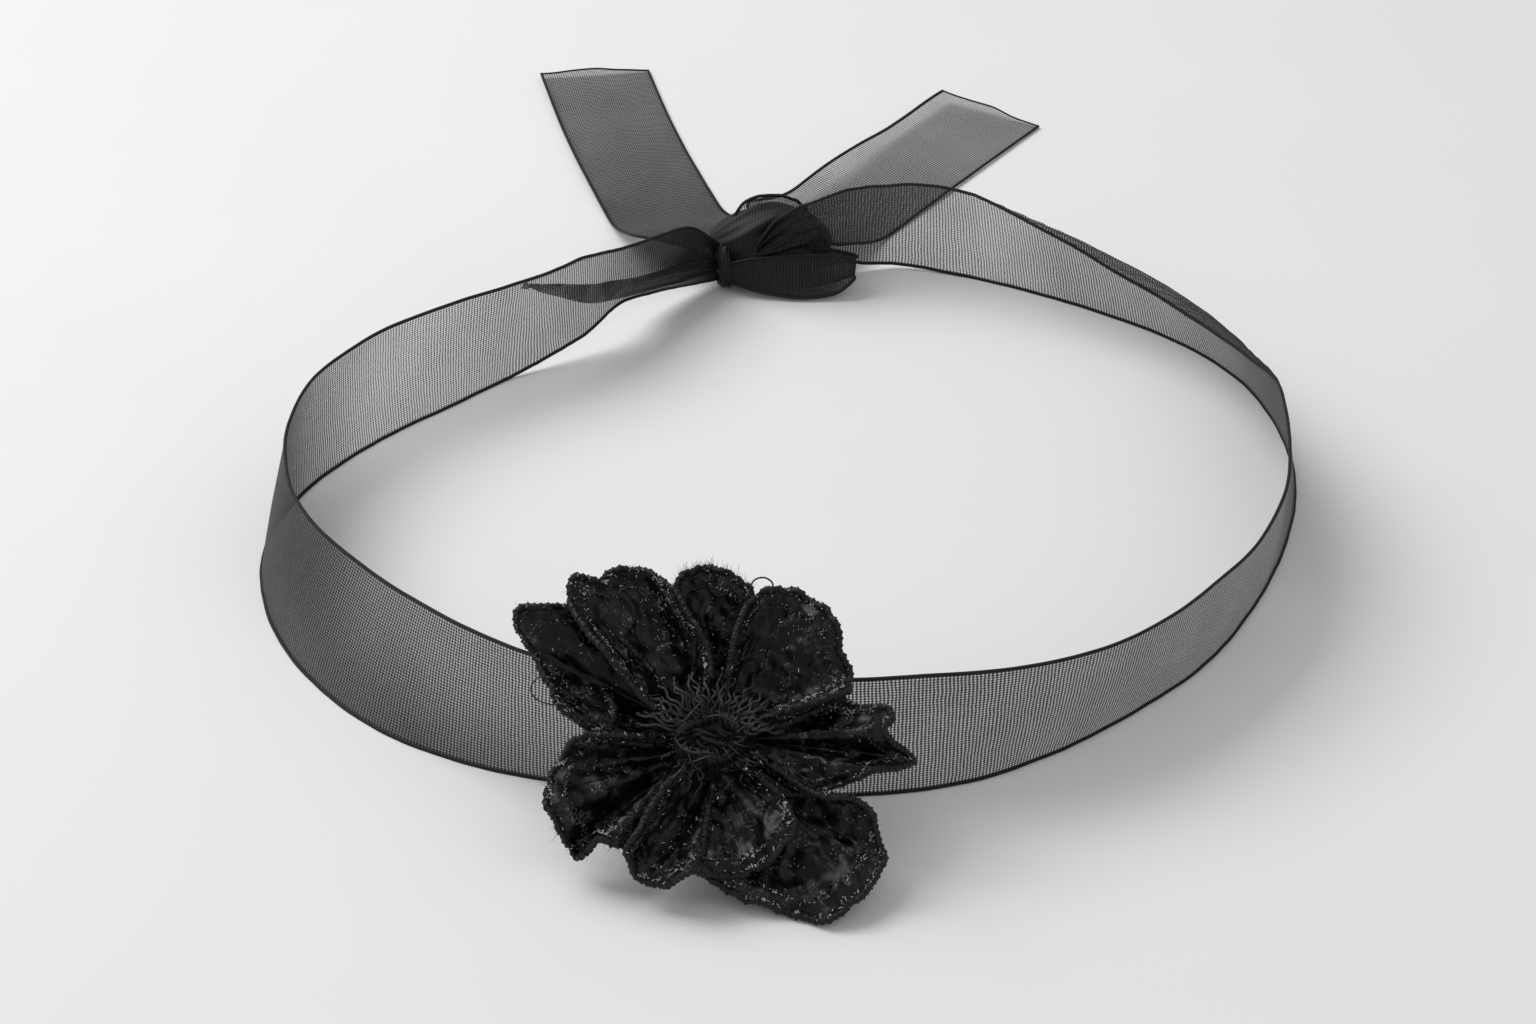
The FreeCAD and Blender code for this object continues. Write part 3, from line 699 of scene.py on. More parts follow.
@dataclass
class RibbonLoop:
    """The head loop: the standing ribbon and the two stretches that gather into the knot."""

    # x, y, height of the lower edge, outward lean in degrees, folded strip at the top, density (partly
    # painted shade)
    # The density is higher along the front and at the two ends: at the front it darkens the cloth as painted
    # shade, standing for the ribbon's own shadow on the floor behind it, and at the ends it darkens cloth
    # seen edge-on.
    stations: Sequence[tuple[float, float, float, float, float, float]] = (
        (-57.4, 48.3, 0.3, -11.0, 0.0, 0.66),
        (-66.5, 39.5, 0.2, -6.0, 0.0, 0.62),
        (-81.0, 25.5, 0.2, -2.0, 0.0, 0.60),
        (-93.0, 8.5, 0.2, -6.0, 0.0, 0.84),
        (-99.0, -11.0, 0.2, -13.0, 0.0, 0.985),
        (-96.5, -32.0, 0.2, -16.0, 0.0, 0.88),
        (-87.5, -51.5, 0.2, -23.0, 0.0, 0.78),
        (-72.5, -68.5, 0.2, -24.0, 0.0, 0.76),
        (-53.5, -79.3, 0.2, -12.0, 0.0, 0.76),
        (-33.5, -84.5, 0.2, 0.0, 0.0, 0.76),
        (-12.5, -86.5, 0.2, 0.0, 0.0, 0.76),
        (9.5, -87.3, 0.2, 0.0, 0.0, 0.80),
        (29.5, -84.0, 0.2, 4.0, 0.0, 0.82),
        (45.5, -76.0, 0.2, 12.0, 0.0, 0.83),
        (60.5, -64.5, 0.2, 15.0, 0.0, 0.83),
        (75.5, -49.5, 0.2, 12.0, 0.0, 0.83),
        (86.5, -31.5, 0.2, 8.0, 0.0, 0.85),
        (94.6, -12.0, 0.2, -2.0, 0.0, 0.93),
        (99.2, 8.0, 0.2, -12.0, 0.3, 0.96),
        (99.0, 27.0, 0.2, -22.0, 2.0, 0.94),
        (93.5, 47.0, 0.2, -27.0, 4.0, 0.86),
        (81.5, 63.5, 0.2, -26.0, 4.5, 0.74),
        (62.5, 78.0, 0.2, -21.0, 2.0, 0.70),
        (42.5, 89.0, 0.2, -16.0, 0.0, 0.60),
    )
    before: tuple[float, ...] = (-46.0, 58.5, 1.6, -17.0, 0.0, 0.66)
    after: tuple[float, ...] = (25.4, 95.2, 0.4, -16.0, 0.0, 0.60)
    along_steps: int = 420
    across_steps: int = 28

    def surface(self) -> tuple[np.ndarray, np.ndarray]:
        """Work out the standing stretch.

        Returns:
            The cloth's places, shaped (along, across, 3), and its density, shaped (along, across).
        """
        shares = np.linspace(0.0, 1.0, self.along_steps + 1)
        spine = Path(self.stations, self.before, self.after)
        rows = spine.at(shares)
        base = rows[:, :3]
        forward = unit(np.gradient(base * [1, 1, 0], axis=0))
        outward = np.stack([forward[:, 1], -forward[:, 0], np.zeros(len(base))], -1)
        lean = np.radians(rows[:, 3])[:, None]
        up = outward * np.sin(lean) + np.array([0.0, 0.0, 1.0]) * np.cos(lean)
        face = outward * np.cos(lean) - np.array([0.0, 0.0, 1.0]) * np.sin(lean)
        strip = rows[:, 4:5]
        knee = RIBBON_WIDTH - np.maximum(strip, 2.4)
        standing = np.linspace(0.0, 1.0, self.across_steps - 4)[None] * knee
        turned = knee + (RIBBON_WIDTH - knee) * np.linspace(0.2, 1.0, 5)[None]
        across = np.concatenate([standing, turned], axis=1)
        straight = np.minimum(across, RIBBON_WIDTH - strip)
        over = across - straight
        cloth = base[:, None] + up[:, None] * (straight - 0.86 * over)[..., None]
        cloth = cloth - face[:, None] * (0.9 * np.sqrt(np.maximum(over, 0.0)) * 0.6)[..., None]
        belly = np.sin(across / RIBBON_WIDTH * math.pi) * (0.9 + 0.5 * ripple(shares, 5, 6.0)[:, None])
        wander = ripple(shares, 11, 9.0)[:, None] * (across / RIBBON_WIDTH) ** 1.5
        fine = ripple(shares, 12, 31.0)[:, None] * ripple(across / RIBBON_WIDTH, 13, 1.2)
        cloth = cloth + face[:, None] * (0.5 * belly + 0.35 * wander + 0.12 * fine)[..., None]
        density = np.repeat(rows[:, 5:6], self.across_steps + 1, axis=1)
        density[:, [0, -1]] += EDGE_COVER
        return cloth, density

    def build(self, finishes: Finishes) -> list[bpy.types.Object]:
        cloth, density = self.surface()
        cloth[..., 2] = np.maximum(cloth[..., 2], 0.12)
        loop = to_piece("ribbon_loop_cloth", grid_mesh("ribbon_loop", cloth), finishes.organza)
        set_density(loop, density)
        selvedges = threads("ribbon_loop_selvedges", [cloth[:, 0], cloth[:, -1]], SELVEDGE_RADIUS,
                            finishes.selvedge, round_steps=1)
        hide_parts("ribbon_loop")
        length = float(np.linalg.norm(np.diff(cloth, axis=0), axis=2).mean(axis=1).sum())
        pieces = [loop, selvedges]
        pieces += self.left_gather(finishes, cloth[0], cloth[14])
        pieces += self.right_gather(finishes, cloth[-1], cloth[-14], length)
        for piece in pieces:
            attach(piece, BODY)
        return pieces

    def left_gather(self, finishes: Finishes, edge: np.ndarray, inside: np.ndarray) -> list[bpy.types.Object]:
        """Make the stretch that folds over itself on its way into the wrap.

        Args:
            finishes: The materials.
            edge: Where the loop's cloth ends.
            inside: A row of the loop's cloth a little way in, which steers the joint.

        Returns:
            The stretch's pieces.
        """
        low, high = edge[0], edge[-1]
        steer = [inside[round(share * (len(inside) - 1))] for share in (0.0, 0.93, 0.965, 1.0)]
        lower = (low, (-48.6, 54.5, 2.2), (-40.7, 60.0, 4.6), (-34.7, 66.0, 7.7), (-28.7, 75.0, 5.0),
                 (-20.1, 83.5, 2.4), (-14.0, 87.7, 1.6))
        front_fold = (low + (high - low) * 0.93, (-48.4, 49.4, 21.8), (-40.4, 56.0, 18.3),
                      (-34.6, 62.5, 15.5), (-28.6, 71.0, 11.9), (-20.0, 81.0, 9.0), (-14.0, 87.0, 6.0))
        back_fold = (low + (high - low) * 0.965, (-48.5, 51.5, 18.8), (-40.8, 59.5, 11.9), (-34.8, 67.0, 8.5),
                     (-28.8, 75.5, 5.4), (-20.1, 84.5, 3.0), (-14.0, 88.8, 3.0))
        upper = (high, (-48.0, 49.0, 24.8), (-40.5, 55.0, 25.3), (-34.6, 62.0, 22.8), (-28.4, 70.0, 20.7),
                 (-19.9, 81.0, 17.4), (-14.0, 88.0, 9.6))
        rows = (lower, front_fold, back_fold, upper)
        sheet = RibbonSheet("left_gather_cloth", rows, (0.0, 0.36, 0.58, 1.0),
                            (0.66, 0.66, 0.70, 0.78, 0.88, 0.95, 0.99), across_steps=40, wave=0.25,
                            pleats=0.55, pleat_count=6.0, pleat_start=0.45, pleat_end=0.95, seed=21,
                            before=steer, seam=edge, seam_shares=(0.0, 0.93, 0.965, 1.0))
        return self.declare(sheet, finishes, "left_gather", 63.0)

    def right_gather(self, finishes: Finishes, edge: np.ndarray, inside: np.ndarray,
                     length: float) -> list[bpy.types.Object]:
        """Make the stretch that fans out from the knot to the loop's full width.

        Args:
            finishes: The materials.
            edge: Where the loop's cloth ends.
            inside: A row of the loop's cloth a little way in, which steers the joint.
            length: Length of the loop's cloth, so that the weave runs on.

        Returns:
            The stretch's pieces.
        """
        low, high = edge[0], edge[-1]
        lower = ((-7.1, 84.6, 6.0), (0.0, 84.8, 5.0), (6.0, 87.0, 4.2), (11.9, 91.0, 3.4), (17.8, 93.4, 1.8),
                 (27.5, 94.0, 0.8), low)
        upper = ((-6.2, 84.4, 11.0), (-1.9, 84.2, 17.4), (4.7, 85.0, 20.7), (11.6, 87.0, 22.6),
                 (18.3, 88.0, 23.3), (27.0, 86.8, 24.6), high)
        sheet = RibbonSheet("right_gather_cloth", (lower, upper), (0.0, 1.0),
                            (0.99, 0.95, 0.84, 0.74, 0.66, 0.62), across_steps=36, wave=0.4,
                            pleats=0.8, pleat_count=5.0, pleat_start=0.75, pleat_end=0.0, seed=33,
                            after=(inside[0], inside[-1]), seam=edge, loop_length=length)
        return self.declare(sheet, finishes, "right_gather", 54.0)

    @staticmethod
    def declare(sheet: RibbonSheet, finishes: Finishes, node: str, length: float) -> list[bpy.types.Object]:
        """Build one gathered stretch and hide its CAD node.

        Args:
            sheet: The stretch.
            finishes: The materials.
            node: The CAD node that it stands for.
            length: Not used.

        Returns:
            Its pieces.
        """
        piece, selvedges = sheet.build(finishes)
        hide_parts(node)
        return [piece, selvedges]


@dataclass
class Tail:
    """One free end of the ribbon, which slopes off the knot and lies on the table."""

    node: str
    root: tuple[float, float]
    heading: float
    length: float
    bow: float
    end_slant: float
    end_lift: float
    density: Sequence[float]
    seed: int
    edge_lift: Sequence[float]
    root_shift: float = 0.0
    root_width: float = 6.0
    hidden: float = 12.0
    flare: float = 1.0
    root_rise: float = 7.2
    along_steps: int = 110
    across_steps: int = 26

    def surface(self) -> np.ndarray:
        """Work out the tail's cloth in the headband's frame."""
        turn = math.radians(self.heading)
        forward = np.array([math.cos(turn), math.sin(turn), 0.0])
        left = np.array([-math.sin(turn), math.cos(turn), 0.0])
        along = np.linspace(0.0, 1.0, self.along_steps + 1)[:, None]
        side = np.linspace(-0.5, 0.5, self.across_steps + 1)[None]
        reach = along * (self.length + self.hidden + self.end_slant * side * along ** 4) - self.hidden
        width = self.root_width + (RIBBON_WIDTH - self.root_width) * ease(reach, -13.0, self.flare)
        shifted = ease(reach, -12.0, -2.0) * (1 - ease(reach, -2.0, 24.0))
        bow = self.bow * np.sin(along * math.pi) + self.root_shift * shifted
        slope = self.root_rise * (1 - ease(reach, -6.0, 20.0)) ** 1.2
        pleat = 0.5 * (1 - ease(reach, -3.0, 18.0)) * np.sin(side * math.tau * 4.0)
        lifts = [(share, lift, 0.0) for share, lift in enumerate(self.edge_lift)]
        raised = Path(lifts).at_points(along[:, 0])[:, 1:2]
        turned_up = self.end_lift * ease(along, 0.72, 1.0)
        lift = raised * (side + 0.5) ** 1.6 + turned_up * (side + 0.5) ** 2
        wander = ripple(along, self.seed, 1.4) * 0.5 + ripple(along + side * 0.4, self.seed + 2, 2.7) * 0.4
        swell = 1.1 * ease(reach, 14.0, 34.0) * (1.0 + wander) * (0.55 + np.cos(side * math.pi * 1.6) * 0.45)
        height = 0.35 + slope + pleat + lift + swell
        height = np.maximum(height + 0 * side, 0.3)
        origin = np.array([self.root[0], self.root[1], 0.0])
        flat = origin + forward * reach[..., None] + left * (side * width + bow)[..., None]
        return flat + np.array([0.0, 0.0, 1.0]) * height[..., None]

    def build(self, finishes: Finishes) -> list[bpy.types.Object]:
        """Make the tail, its selvedges and its hot-cut end, and hide the tail's CAD node."""
        cloth = self.surface()
        name = self.node + "_cloth"
        piece = to_piece(name, grid_mesh(name, cloth), finishes.organza)
        knots = np.linspace(0.0, 1.0, len(self.density))
        row = np.interp(np.linspace(0.0, 1.0, self.along_steps + 1), knots, self.density)
        set_density(piece, np.repeat(row[:, None], self.across_steps + 1, axis=1))
        edges = threads(self.node + "_selvedges", [cloth[:, 0], cloth[:, -1]], SELVEDGE_RADIUS,
                        finishes.selvedge, round_steps=1)
        end = threads(self.node + "_cut_end", [cloth[-1]], SELVEDGE_RADIUS * 0.7, finishes.selvedge)
        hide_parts(self.node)
        for part in (piece, edges, end):
            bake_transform(part)
        return [piece, edges, end]


# ---------------------------------------------------------------- knot
@dataclass
class Knot:
    """The overhand knot: a tight wrap, packed folds, a loose layer over the top and a flap in front."""

    wrap_centre: tuple[float, float, float] = (-12.7, 87.6, 5.1)
    wrap_radius: float = 4.1
    wrap_width: float = 2.9
    core_centre: tuple[float, float, float] = (-3.0, 91.2, 8.8)
    core_radii: tuple[float, float, float] = (13.2, 6.6, 7.2)

    def build(self, finishes: Finishes) -> list[bpy.types.Object]:
        """Make the knot's pieces."""
        pieces = [self.wrap(finishes), self.core(finishes)]
        pieces += self.upper_fold(finishes)
        pieces += self.flap(finishes)
        for piece in pieces:
            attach(piece, BODY)
        return pieces

    def wrap(self, finishes: Finishes) -> bpy.types.Object:
        """Spin a pleated strip round the gathered ribbon."""
        mesh = bmesh.new()
        count = 22
        ring = []
        for index in range(count):
            share = index / count
            angle = share * math.tau
            x = math.cos(angle) * self.wrap_width / 2
            pleat = 0.32 * math.sin(angle * 7.0)
            radius = self.wrap_radius + math.sin(angle) * 1.0 + (pleat if math.sin(angle) > 0 else 0.0)
            ring.append(mesh.verts.new((x * MM, 0.0, radius * MM)))
        edges = [mesh.edges.new((ring[index], ring[(index + 1) % count])) for index in range(count)]
        bmesh.ops.spin(mesh, geom=ring + edges, cent=(0, 0, 0), axis=(1, 0, 0), angle=math.tau, steps=56,
                       use_merge=True)
        bmesh.ops.remove_doubles(mesh, verts=mesh.verts, dist=1e-6)
        bmesh.ops.recalc_face_normals(mesh, faces=mesh.faces)
        for vert in mesh.verts:
            around = math.atan2(vert.co.z, vert.co.y)
            vert.co.x += (0.35 * math.sin(around * 2.0 + 0.6) + 0.15 * math.sin(around * 5.0)) * MM
            vert.co.y *= 0.92
            vert.co += Vector(self.wrap_centre) * MM
            vert.co.z = max(vert.co.z, 0.15 * MM)
        piece = to_piece("knot_wrap_cloth", mesh, finishes.organza)
        self.make_dense(piece, 0.96)
        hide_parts("knot_wrap")
        return piece

    def core(self, finishes: Finishes) -> bpy.types.Object:
        """Pull a ball of cloth into folds that run away from the wrap."""
        mesh = bmesh.new()
        bmesh.ops.create_uvsphere(mesh, u_segments=96, v_segments=56, radius=1.0)
        bmesh.ops.rotate(mesh, verts=mesh.verts, cent=(0, 0, 0), matrix=Matrix.Rotation(math.pi / 2, 3, "Y"))
        for vert in mesh.verts:
            along, side, up = vert.co
            around = math.atan2(up, side)
            rim = math.sqrt(max(0.0, 1 - along * along))
            bend = around + along * 0.9
            fold = 0.055 * math.sin(bend * 7.0 + 2.2 * along) + 0.03 * math.sin(bend * 15.0 + 1.0)
            swell = 1.0 + rim * fold + 0.10 * math.sin(along * 3.0 + around * 1.0)
            place = Vector((along * self.core_radii[0], side * self.core_radii[1] * swell,
                            up * self.core_radii[2] * swell))
            place += Vector(self.core_centre)
            place.z = max(place.z, 0.4)
            vert.co = place * MM
        piece = to_piece("knot_core_cloth", mesh, finishes.organza)
        self.make_dense(piece, 0.98)
        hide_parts("knot_core")
        return piece

    def upper_fold(self, finishes: Finishes) -> list[bpy.types.Object]:
        """Stand a single loose layer over the top of the knot."""
        lower = ((-12.0, 88.4, 9.6), (-8.0, 87.4, 12.6), (-3.0, 87.0, 13.6), (2.5, 87.2, 13.4),
                 (6.4, 88.4, 11.4), (7.6, 90.2, 7.6))
        upper = ((-12.4, 91.0, 12.0), (-8.6, 92.6, 16.9), (-4.2, 94.0, 18.0), (0.2, 94.2, 17.5),
                 (4.2, 93.8, 15.4), (7.2, 92.2, 9.6))
        sheet = RibbonSheet("knot_upper_fold_cloth", (lower, upper), (0.0, 1.0),
                            (0.90, 0.70, 0.58, 0.60, 0.80), along_steps=60, across_steps=16, wave=0.3,
                            seed=41)
        piece, selvedges = sheet.build(finishes)
        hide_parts("knot_upper_fold")
        return [piece, selvedges]

    def flap(self, finishes: Finishes) -> list[bpy.types.Object]:
        """Lead a strip out in front of the knot, turn it back on itself and tuck it in again."""
        lower = ((-12.0, 83.4, 3.2), (-7.0, 81.8, 2.0), (-1.5, 80.8, 1.2), (4.0, 80.2, 0.9),
                 (10.5, 80.6, 1.6), (14.4, 81.6, 4.2), (14.2, 83.4, 4.4), (9.0, 84.2, 2.2),
                 (2.0, 84.0, 1.6), (-6.0, 84.6, 2.4))
        upper = ((-12.0, 84.4, 6.8), (-7.0, 83.6, 8.4), (-1.5, 83.2, 9.2), (4.0, 83.2, 9.6),
                 (10.5, 83.4, 9.4), (14.8, 83.4, 8.8), (14.6, 84.8, 8.8), (9.0, 86.0, 9.4),
                 (2.0, 86.2, 9.4), (-6.0, 86.2, 8.2))
        sheet = RibbonSheet("knot_flap_cloth", (lower, upper), (0.0, 1.0),
                            (0.99, 0.97, 0.93, 0.88, 0.86, 0.92, 0.86, 0.92, 0.98), along_steps=90,
                            across_steps=14, wave=0.2, seed=52)
        piece, selvedges = sheet.build(finishes)
        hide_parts("knot_flap")
        return [piece, selvedges]

    @staticmethod
    def make_dense(piece: bpy.types.Object, density: float) -> None:
        """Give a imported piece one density, and a cloth UV map if it has none."""
        set_density(piece, np.full(len(piece.data.vertices), density))
        if not piece.data.uv_layers:
            layer = piece.data.uv_layers.new(name="cloth")
            for loop in piece.data.loops:
                place = piece.data.vertices[loop.vertex_index].co / MM
                layer.data[loop.index].uv = (place.x, place.y + place.z)


# ---------------------------------------------------------------- flower
FLOWER_HEART = Vector((-12.5, -92.5, 17.0))
FLOWER_TILT = math.radians(46.0)
# Half-way between the key light and the camera: the painted highlight threads gather where the petals face
# this way.
PAINTED_HIGHLIGHT_WAY = np.array([-0.40, -0.30, 0.87])
TABLE_GAP = 0.7


def on_flower(points: np.ndarray) -> np.ndarray:
    """Carry places from the flower's own frame, whose Z leaves its face, to the headband's frame."""
    cosine, sine = math.cos(FLOWER_TILT), math.sin(FLOWER_TILT)
    turn = np.array([[1, 0, 0], [0, cosine, -sine], [0, sine, cosine]])
    placed = np.asarray(points, float) @ turn.T + np.array(FLOWER_HEART)
    placed[..., 2] = np.maximum(placed[..., 2], TABLE_GAP)
    return placed


@dataclass(frozen=True)
class Petal:
    """One petal: its outline on the flower's face, its folds and how its edge is finished."""

    name: str
    root: tuple[float, float]
    outline: Sequence[tuple[float, float]]
    base: float
    rise: float
    # share round the outline, half width as a share, height in millimetres; below zero is a valley
    folds: Sequence[tuple[float, float, float]]
    ruffle: float = 0.5
    hairs: int = 100
    hair_length: float = 0.6
    stitches: int = 110
    seed: int = 1


PETALS = (
    Petal("far_left", (-4.0, 1.5),
          ((-7, -2), (-14, -1.5), (-20, 0.5), (-25, 4), (-27.7, 9), (-31, 15), (-33, 18.3), (-31.8, 20.8),
           (-28, 21), (-23, 20.5), (-16, 16), (-8, 8)),
          0.4, 5.0, ((0.30, 0.07, 1.6), (0.45, 0.06, -1.8), (0.58, 0.06, 1.6), (0.72, 0.06, -1.2)),
          0.5, 150, 0.8, 120, 3),
    Petal("upper_left", (-3.0, 3.0),
          ((-7, 1.5), (-13, 7), (-18, 13), (-22, 18), (-24, 22.5), (-23.2, 25.8), (-19, 25.6), (-16.8, 27.2),
           (-13.5, 27.5), (-9.5, 25.8), (-6, 22.5), (-4, 18.5), (-1.5, 14.5), (-0.5, 9), (-1, 6)),
          2.6, 6.5, ((0.22, 0.09, 3.2), (0.56, 0.13, -4.6), (0.84, 0.08, 1.8)), 0.5, 150, 0.7, 130, 4),
    Petal("top", (0.0, 5.0),
          ((-2.5, 7), (-4, 14), (-6, 20), (-6.3, 24.3), (-3.8, 27.2), (0, 27.5), (3, 26), (6, 23.5),
           (4.8, 18.5), (3, 13), (2, 8)),
          1.0, 4.5, ((0.35, 0.08, 1.0), (0.5, 0.07, -1.2), (0.65, 0.08, 1.0)), 0.4, 900, 1.1, 60, 5),
    Petal("upper_right", (2.0, 3.5),
          ((2, 7), (3, 13), (4.3, 18), (6, 21.3), (9, 23.4), (13, 23.3), (17, 20.9), (19.9, 18), (20.5, 14.8),
           (21.3, 12), (22.5, 9), (21, 6), (16, 4.5), (9, 2.5)),
          2.8, 7.0, ((0.14, 0.08, 1.6), (0.36, 0.12, -2.2), (0.55, 0.05, 1.2), (0.70, 0.09, -1.6),
                     (0.86, 0.06, 1.2)), 0.6, 110, 0.5, 130, 6),
    Petal("right", (4.0, -1.0),
          ((8, 1), (14.5, 3.8), (20, 5.3), (24, 4), (28.5, 3.7), (29.4, 1.9), (27.6, 0), (29.5, -1.9),
           (33, -4.6), (30, -5.9), (25, -7), (19, -9.2), (12, -10), (5, -7)),
          5.4, 3.0, ((0.24, 0.07, -1.6), (0.42, 0.06, 2.6), (0.53, 0.05, -2.8), (0.66, 0.06, 2.2),
                     (0.82, 0.06, -1.2)), 0.4, 170, 0.9, 100, 7),
    Petal("lower_right", (2.0, -5.0),
          ((7, -3.5), (12.5, -8), (18, -11), (22.5, -11.3), (25.6, -13.6), (27, -18), (27.7, -22),
           (24.6, -26.5), (20.5, -30), (16.5, -31.2), (12.5, -29.8), (8, -28.2), (2, -26), (-1.5, -22),
           (-1, -14), (0, -9)),
          0.8, 8.6, ((0.22, 0.06, 1.4), (0.36, 0.07, -1.6), (0.50, 0.07, 1.4), (0.63, 0.06, -1.2)),
          0.5, 120, 0.5, 150, 8),
    Petal("lower_middle", (0.0, -5.5),
          ((-5, -6), (-9, -11), (-12, -16.5), (-14, -20), (-12.3, -23.7), (-9, -25.4), (-6, -24.5),
           (-3, -23.2), (1, -23.8), (4.5, -23.4), (8, -22), (11.5, -18.8), (13, -15), (10.5, -10.5),
           (5.5, -6.5)),
          3.4, 7.2, ((0.20, 0.06, 1.5), (0.34, 0.06, -2.0), (0.48, 0.06, 1.5), (0.62, 0.06, -1.4),
                     (0.78, 0.07, 1.2)), 0.7, 120, 0.5, 150, 9),
    Petal("lower_left", (-4.0, -3.0),
          ((-8, -1), (-15, -0.7), (-21.5, -0.8), (-25, -4), (-27.2, -9.5), (-26.5, -13.5), (-24, -18),
           (-22.7, -20.3), (-20.8, -19.6), (-18.5, -17.6), (-15, -18.8), (-12, -17), (-10, -11), (-8, -6.5)),
          1.6, 5.4, ((0.18, 0.06, 1.4), (0.33, 0.06, -2.2), (0.46, 0.05, 2.6), (0.58, 0.05, -3.2),
                     (0.72, 0.06, 2.4), (0.86, 0.05, -2.0)), 0.6, 300, 1.2, 110, 10),
)


@dataclass
class PetalWork:
    """Makes one petal with its edge cord, couching, stitches and fuzz."""

    petal: Petal
    finishes: Finishes
    along_steps: int = 150
    reach_steps: int = 44
    root_share: float = 0.12
    wall: float = 0.5
    cord_radius: float = 0.56

    def surface(self) -> np.ndarray:
        """Work out the blade in the flower's frame.

        Returns:
            Array shaped (round the outline, from root to rim, 3).
        """
        petal = self.petal
        around = np.linspace(0.0, 1.0, self.along_steps + 1)
        rim = Path([(x, y, 0.0) for x, y in petal.outline]).at(around)[:, :2]
        outward = unit(rim - np.array(petal.root))
        rim = rim + outward * (0.46 * ripple(around, petal.seed + 50, 11.0)
                               + 0.24 * ripple(around, petal.seed + 51, 27.0))[:, None]
        reach = np.linspace(self.root_share, 1.0, self.reach_steps + 1)[None, :, None]
        root = np.array(petal.root)
        flat = root + (rim[:, None] - root) * reach
        share = around[:, None]
        out = reach[..., 0]
        height = petal.base + petal.rise * out ** 1.3
        for centre, width, lift in petal.folds:
            height = height + lift * np.exp(-((share - centre) / width) ** 2) * out ** 1.2
        height = height + petal.ruffle * ripple(share, petal.seed, 4.5) * out ** 3
        pleats = ripple(share + out * 0.30, petal.seed + 20, 5.0)
        height = height + 0.40 * pleats * ease(out, 0.30, 0.75) * (1.15 - out)
        height = height + 0.22 * ripple(out + share * 0.3, petal.seed + 30, 2.5)
        height = height - 0.5 * ease(out, 0.9, 1.0)
        blade = np.concatenate([flat, (height + 0 * share)[..., None]], axis=2)
        rumple = [[self.rumple(place, depth) for place, depth in zip(row, out[0])] for row in blade]
        blade[..., 2] += np.array(rumple)
        return blade

    def rumple(self, place: np.ndarray, out: float) -> float:
        """Height of the small creases at one place of the blade."""
        spot = Vector(place) + Vector((0.0, 0.0, self.petal.seed * 13.7))
        ridged = max(0.0, 1.0 - 2.4 * abs(noise.noise(spot * 0.15)))
        small = noise.noise(spot * 0.55)
        fine = noise.noise(spot * 1.3)
        return (0.8 * ridged * ridged + 0.42 * small + 0.10 * fine) * min(1.0, 0.35 + out)

    def build(self) -> list[bpy.types.Object]:
        """Make every piece of this petal."""
        local = self.surface()
        placed = on_flower(local)
        rng = np.random.default_rng(self.petal.seed * 101)
        pieces = [self.blade(placed), self.cord(placed), self.couching(placed), self.stitching(placed, rng),
                  self.painted_highlights(placed, rng), self.fuzz(placed, rng)]
        for piece in pieces:
            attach(piece, BODY)
        return pieces

    def blade(self, placed: np.ndarray) -> bpy.types.Object:
        """Make the petal's cloth with its thickness."""
        name = "petal_" + self.petal.name
        mesh = grid_mesh(name, placed)
        piece = to_piece(name + "_cloth", mesh, self.finishes.satin)
        wall = piece.modifiers.new("wall", "SOLIDIFY")
        wall.thickness = self.wall * MM
        wall.offset = 0.0
        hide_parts(name)
        return piece

    def cord(self, placed: np.ndarray) -> bpy.types.Object:
        """Lay a cord round the rim and wind a thread over it."""
        edge = placed[:, -1]
        inner = placed[:, -2]
        line = edge + unit(edge - inner) * self.cord_radius * 0.6
        line[:, 2] = np.maximum(line[:, 2], self.cord_radius * 1.6)
        shares = np.linspace(0.04, 0.96, 160)
        core = Path(line[::2]).at(shares)
        over = wound(core, self.cord_radius, 1.15, phase=self.petal.seed)
        label = "edge_cord_" + self.petal.name
        piece = threads(label + "_core", [core], self.cord_radius, self.finishes.cord,
                        round_steps=2)
        winding = threads(label + "_winding", [over], 0.24, self.finishes.cord)
        winding.parent = piece
        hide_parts(label)
        return piece

    def couching(self, placed: np.ndarray) -> bpy.types.Object:
        """Sew a fine second row just inside the rim."""
        row = int(self.reach_steps * 0.88)
        lift = unit(np.cross(np.gradient(placed[:, row], axis=0), placed[:, row] - placed[:, row - 1]))
        lift = lift * np.sign((lift @ np.array([0.0, -0.7, 0.7])))[:, None]
        line = placed[:, row] + lift * (self.wall / 2 + 0.12)
        core = Path(line[2:-2:3]).at(np.linspace(0.0, 1.0, 120))
        over = wound(core, 0.24, 1.15, steps=6, phase=2.0)
        return threads("couching_" + self.petal.name, [over], 0.15, self.finishes.thread)

    def facing(self, placed: np.ndarray, i: int, j: int) -> np.ndarray:
        """The blade's upper normal at one cell."""
        ahead = placed[min(i + 1, len(placed) - 1), j] - placed[max(i - 1, 0), j]
        out = placed[i, min(j + 1, placed.shape[1] - 1)] - placed[i, max(j - 1, 0)]
        normal = unit(np.cross(ahead, out))
        return normal if normal @ np.array([0.0, -0.7, 0.7]) > 0 else -normal

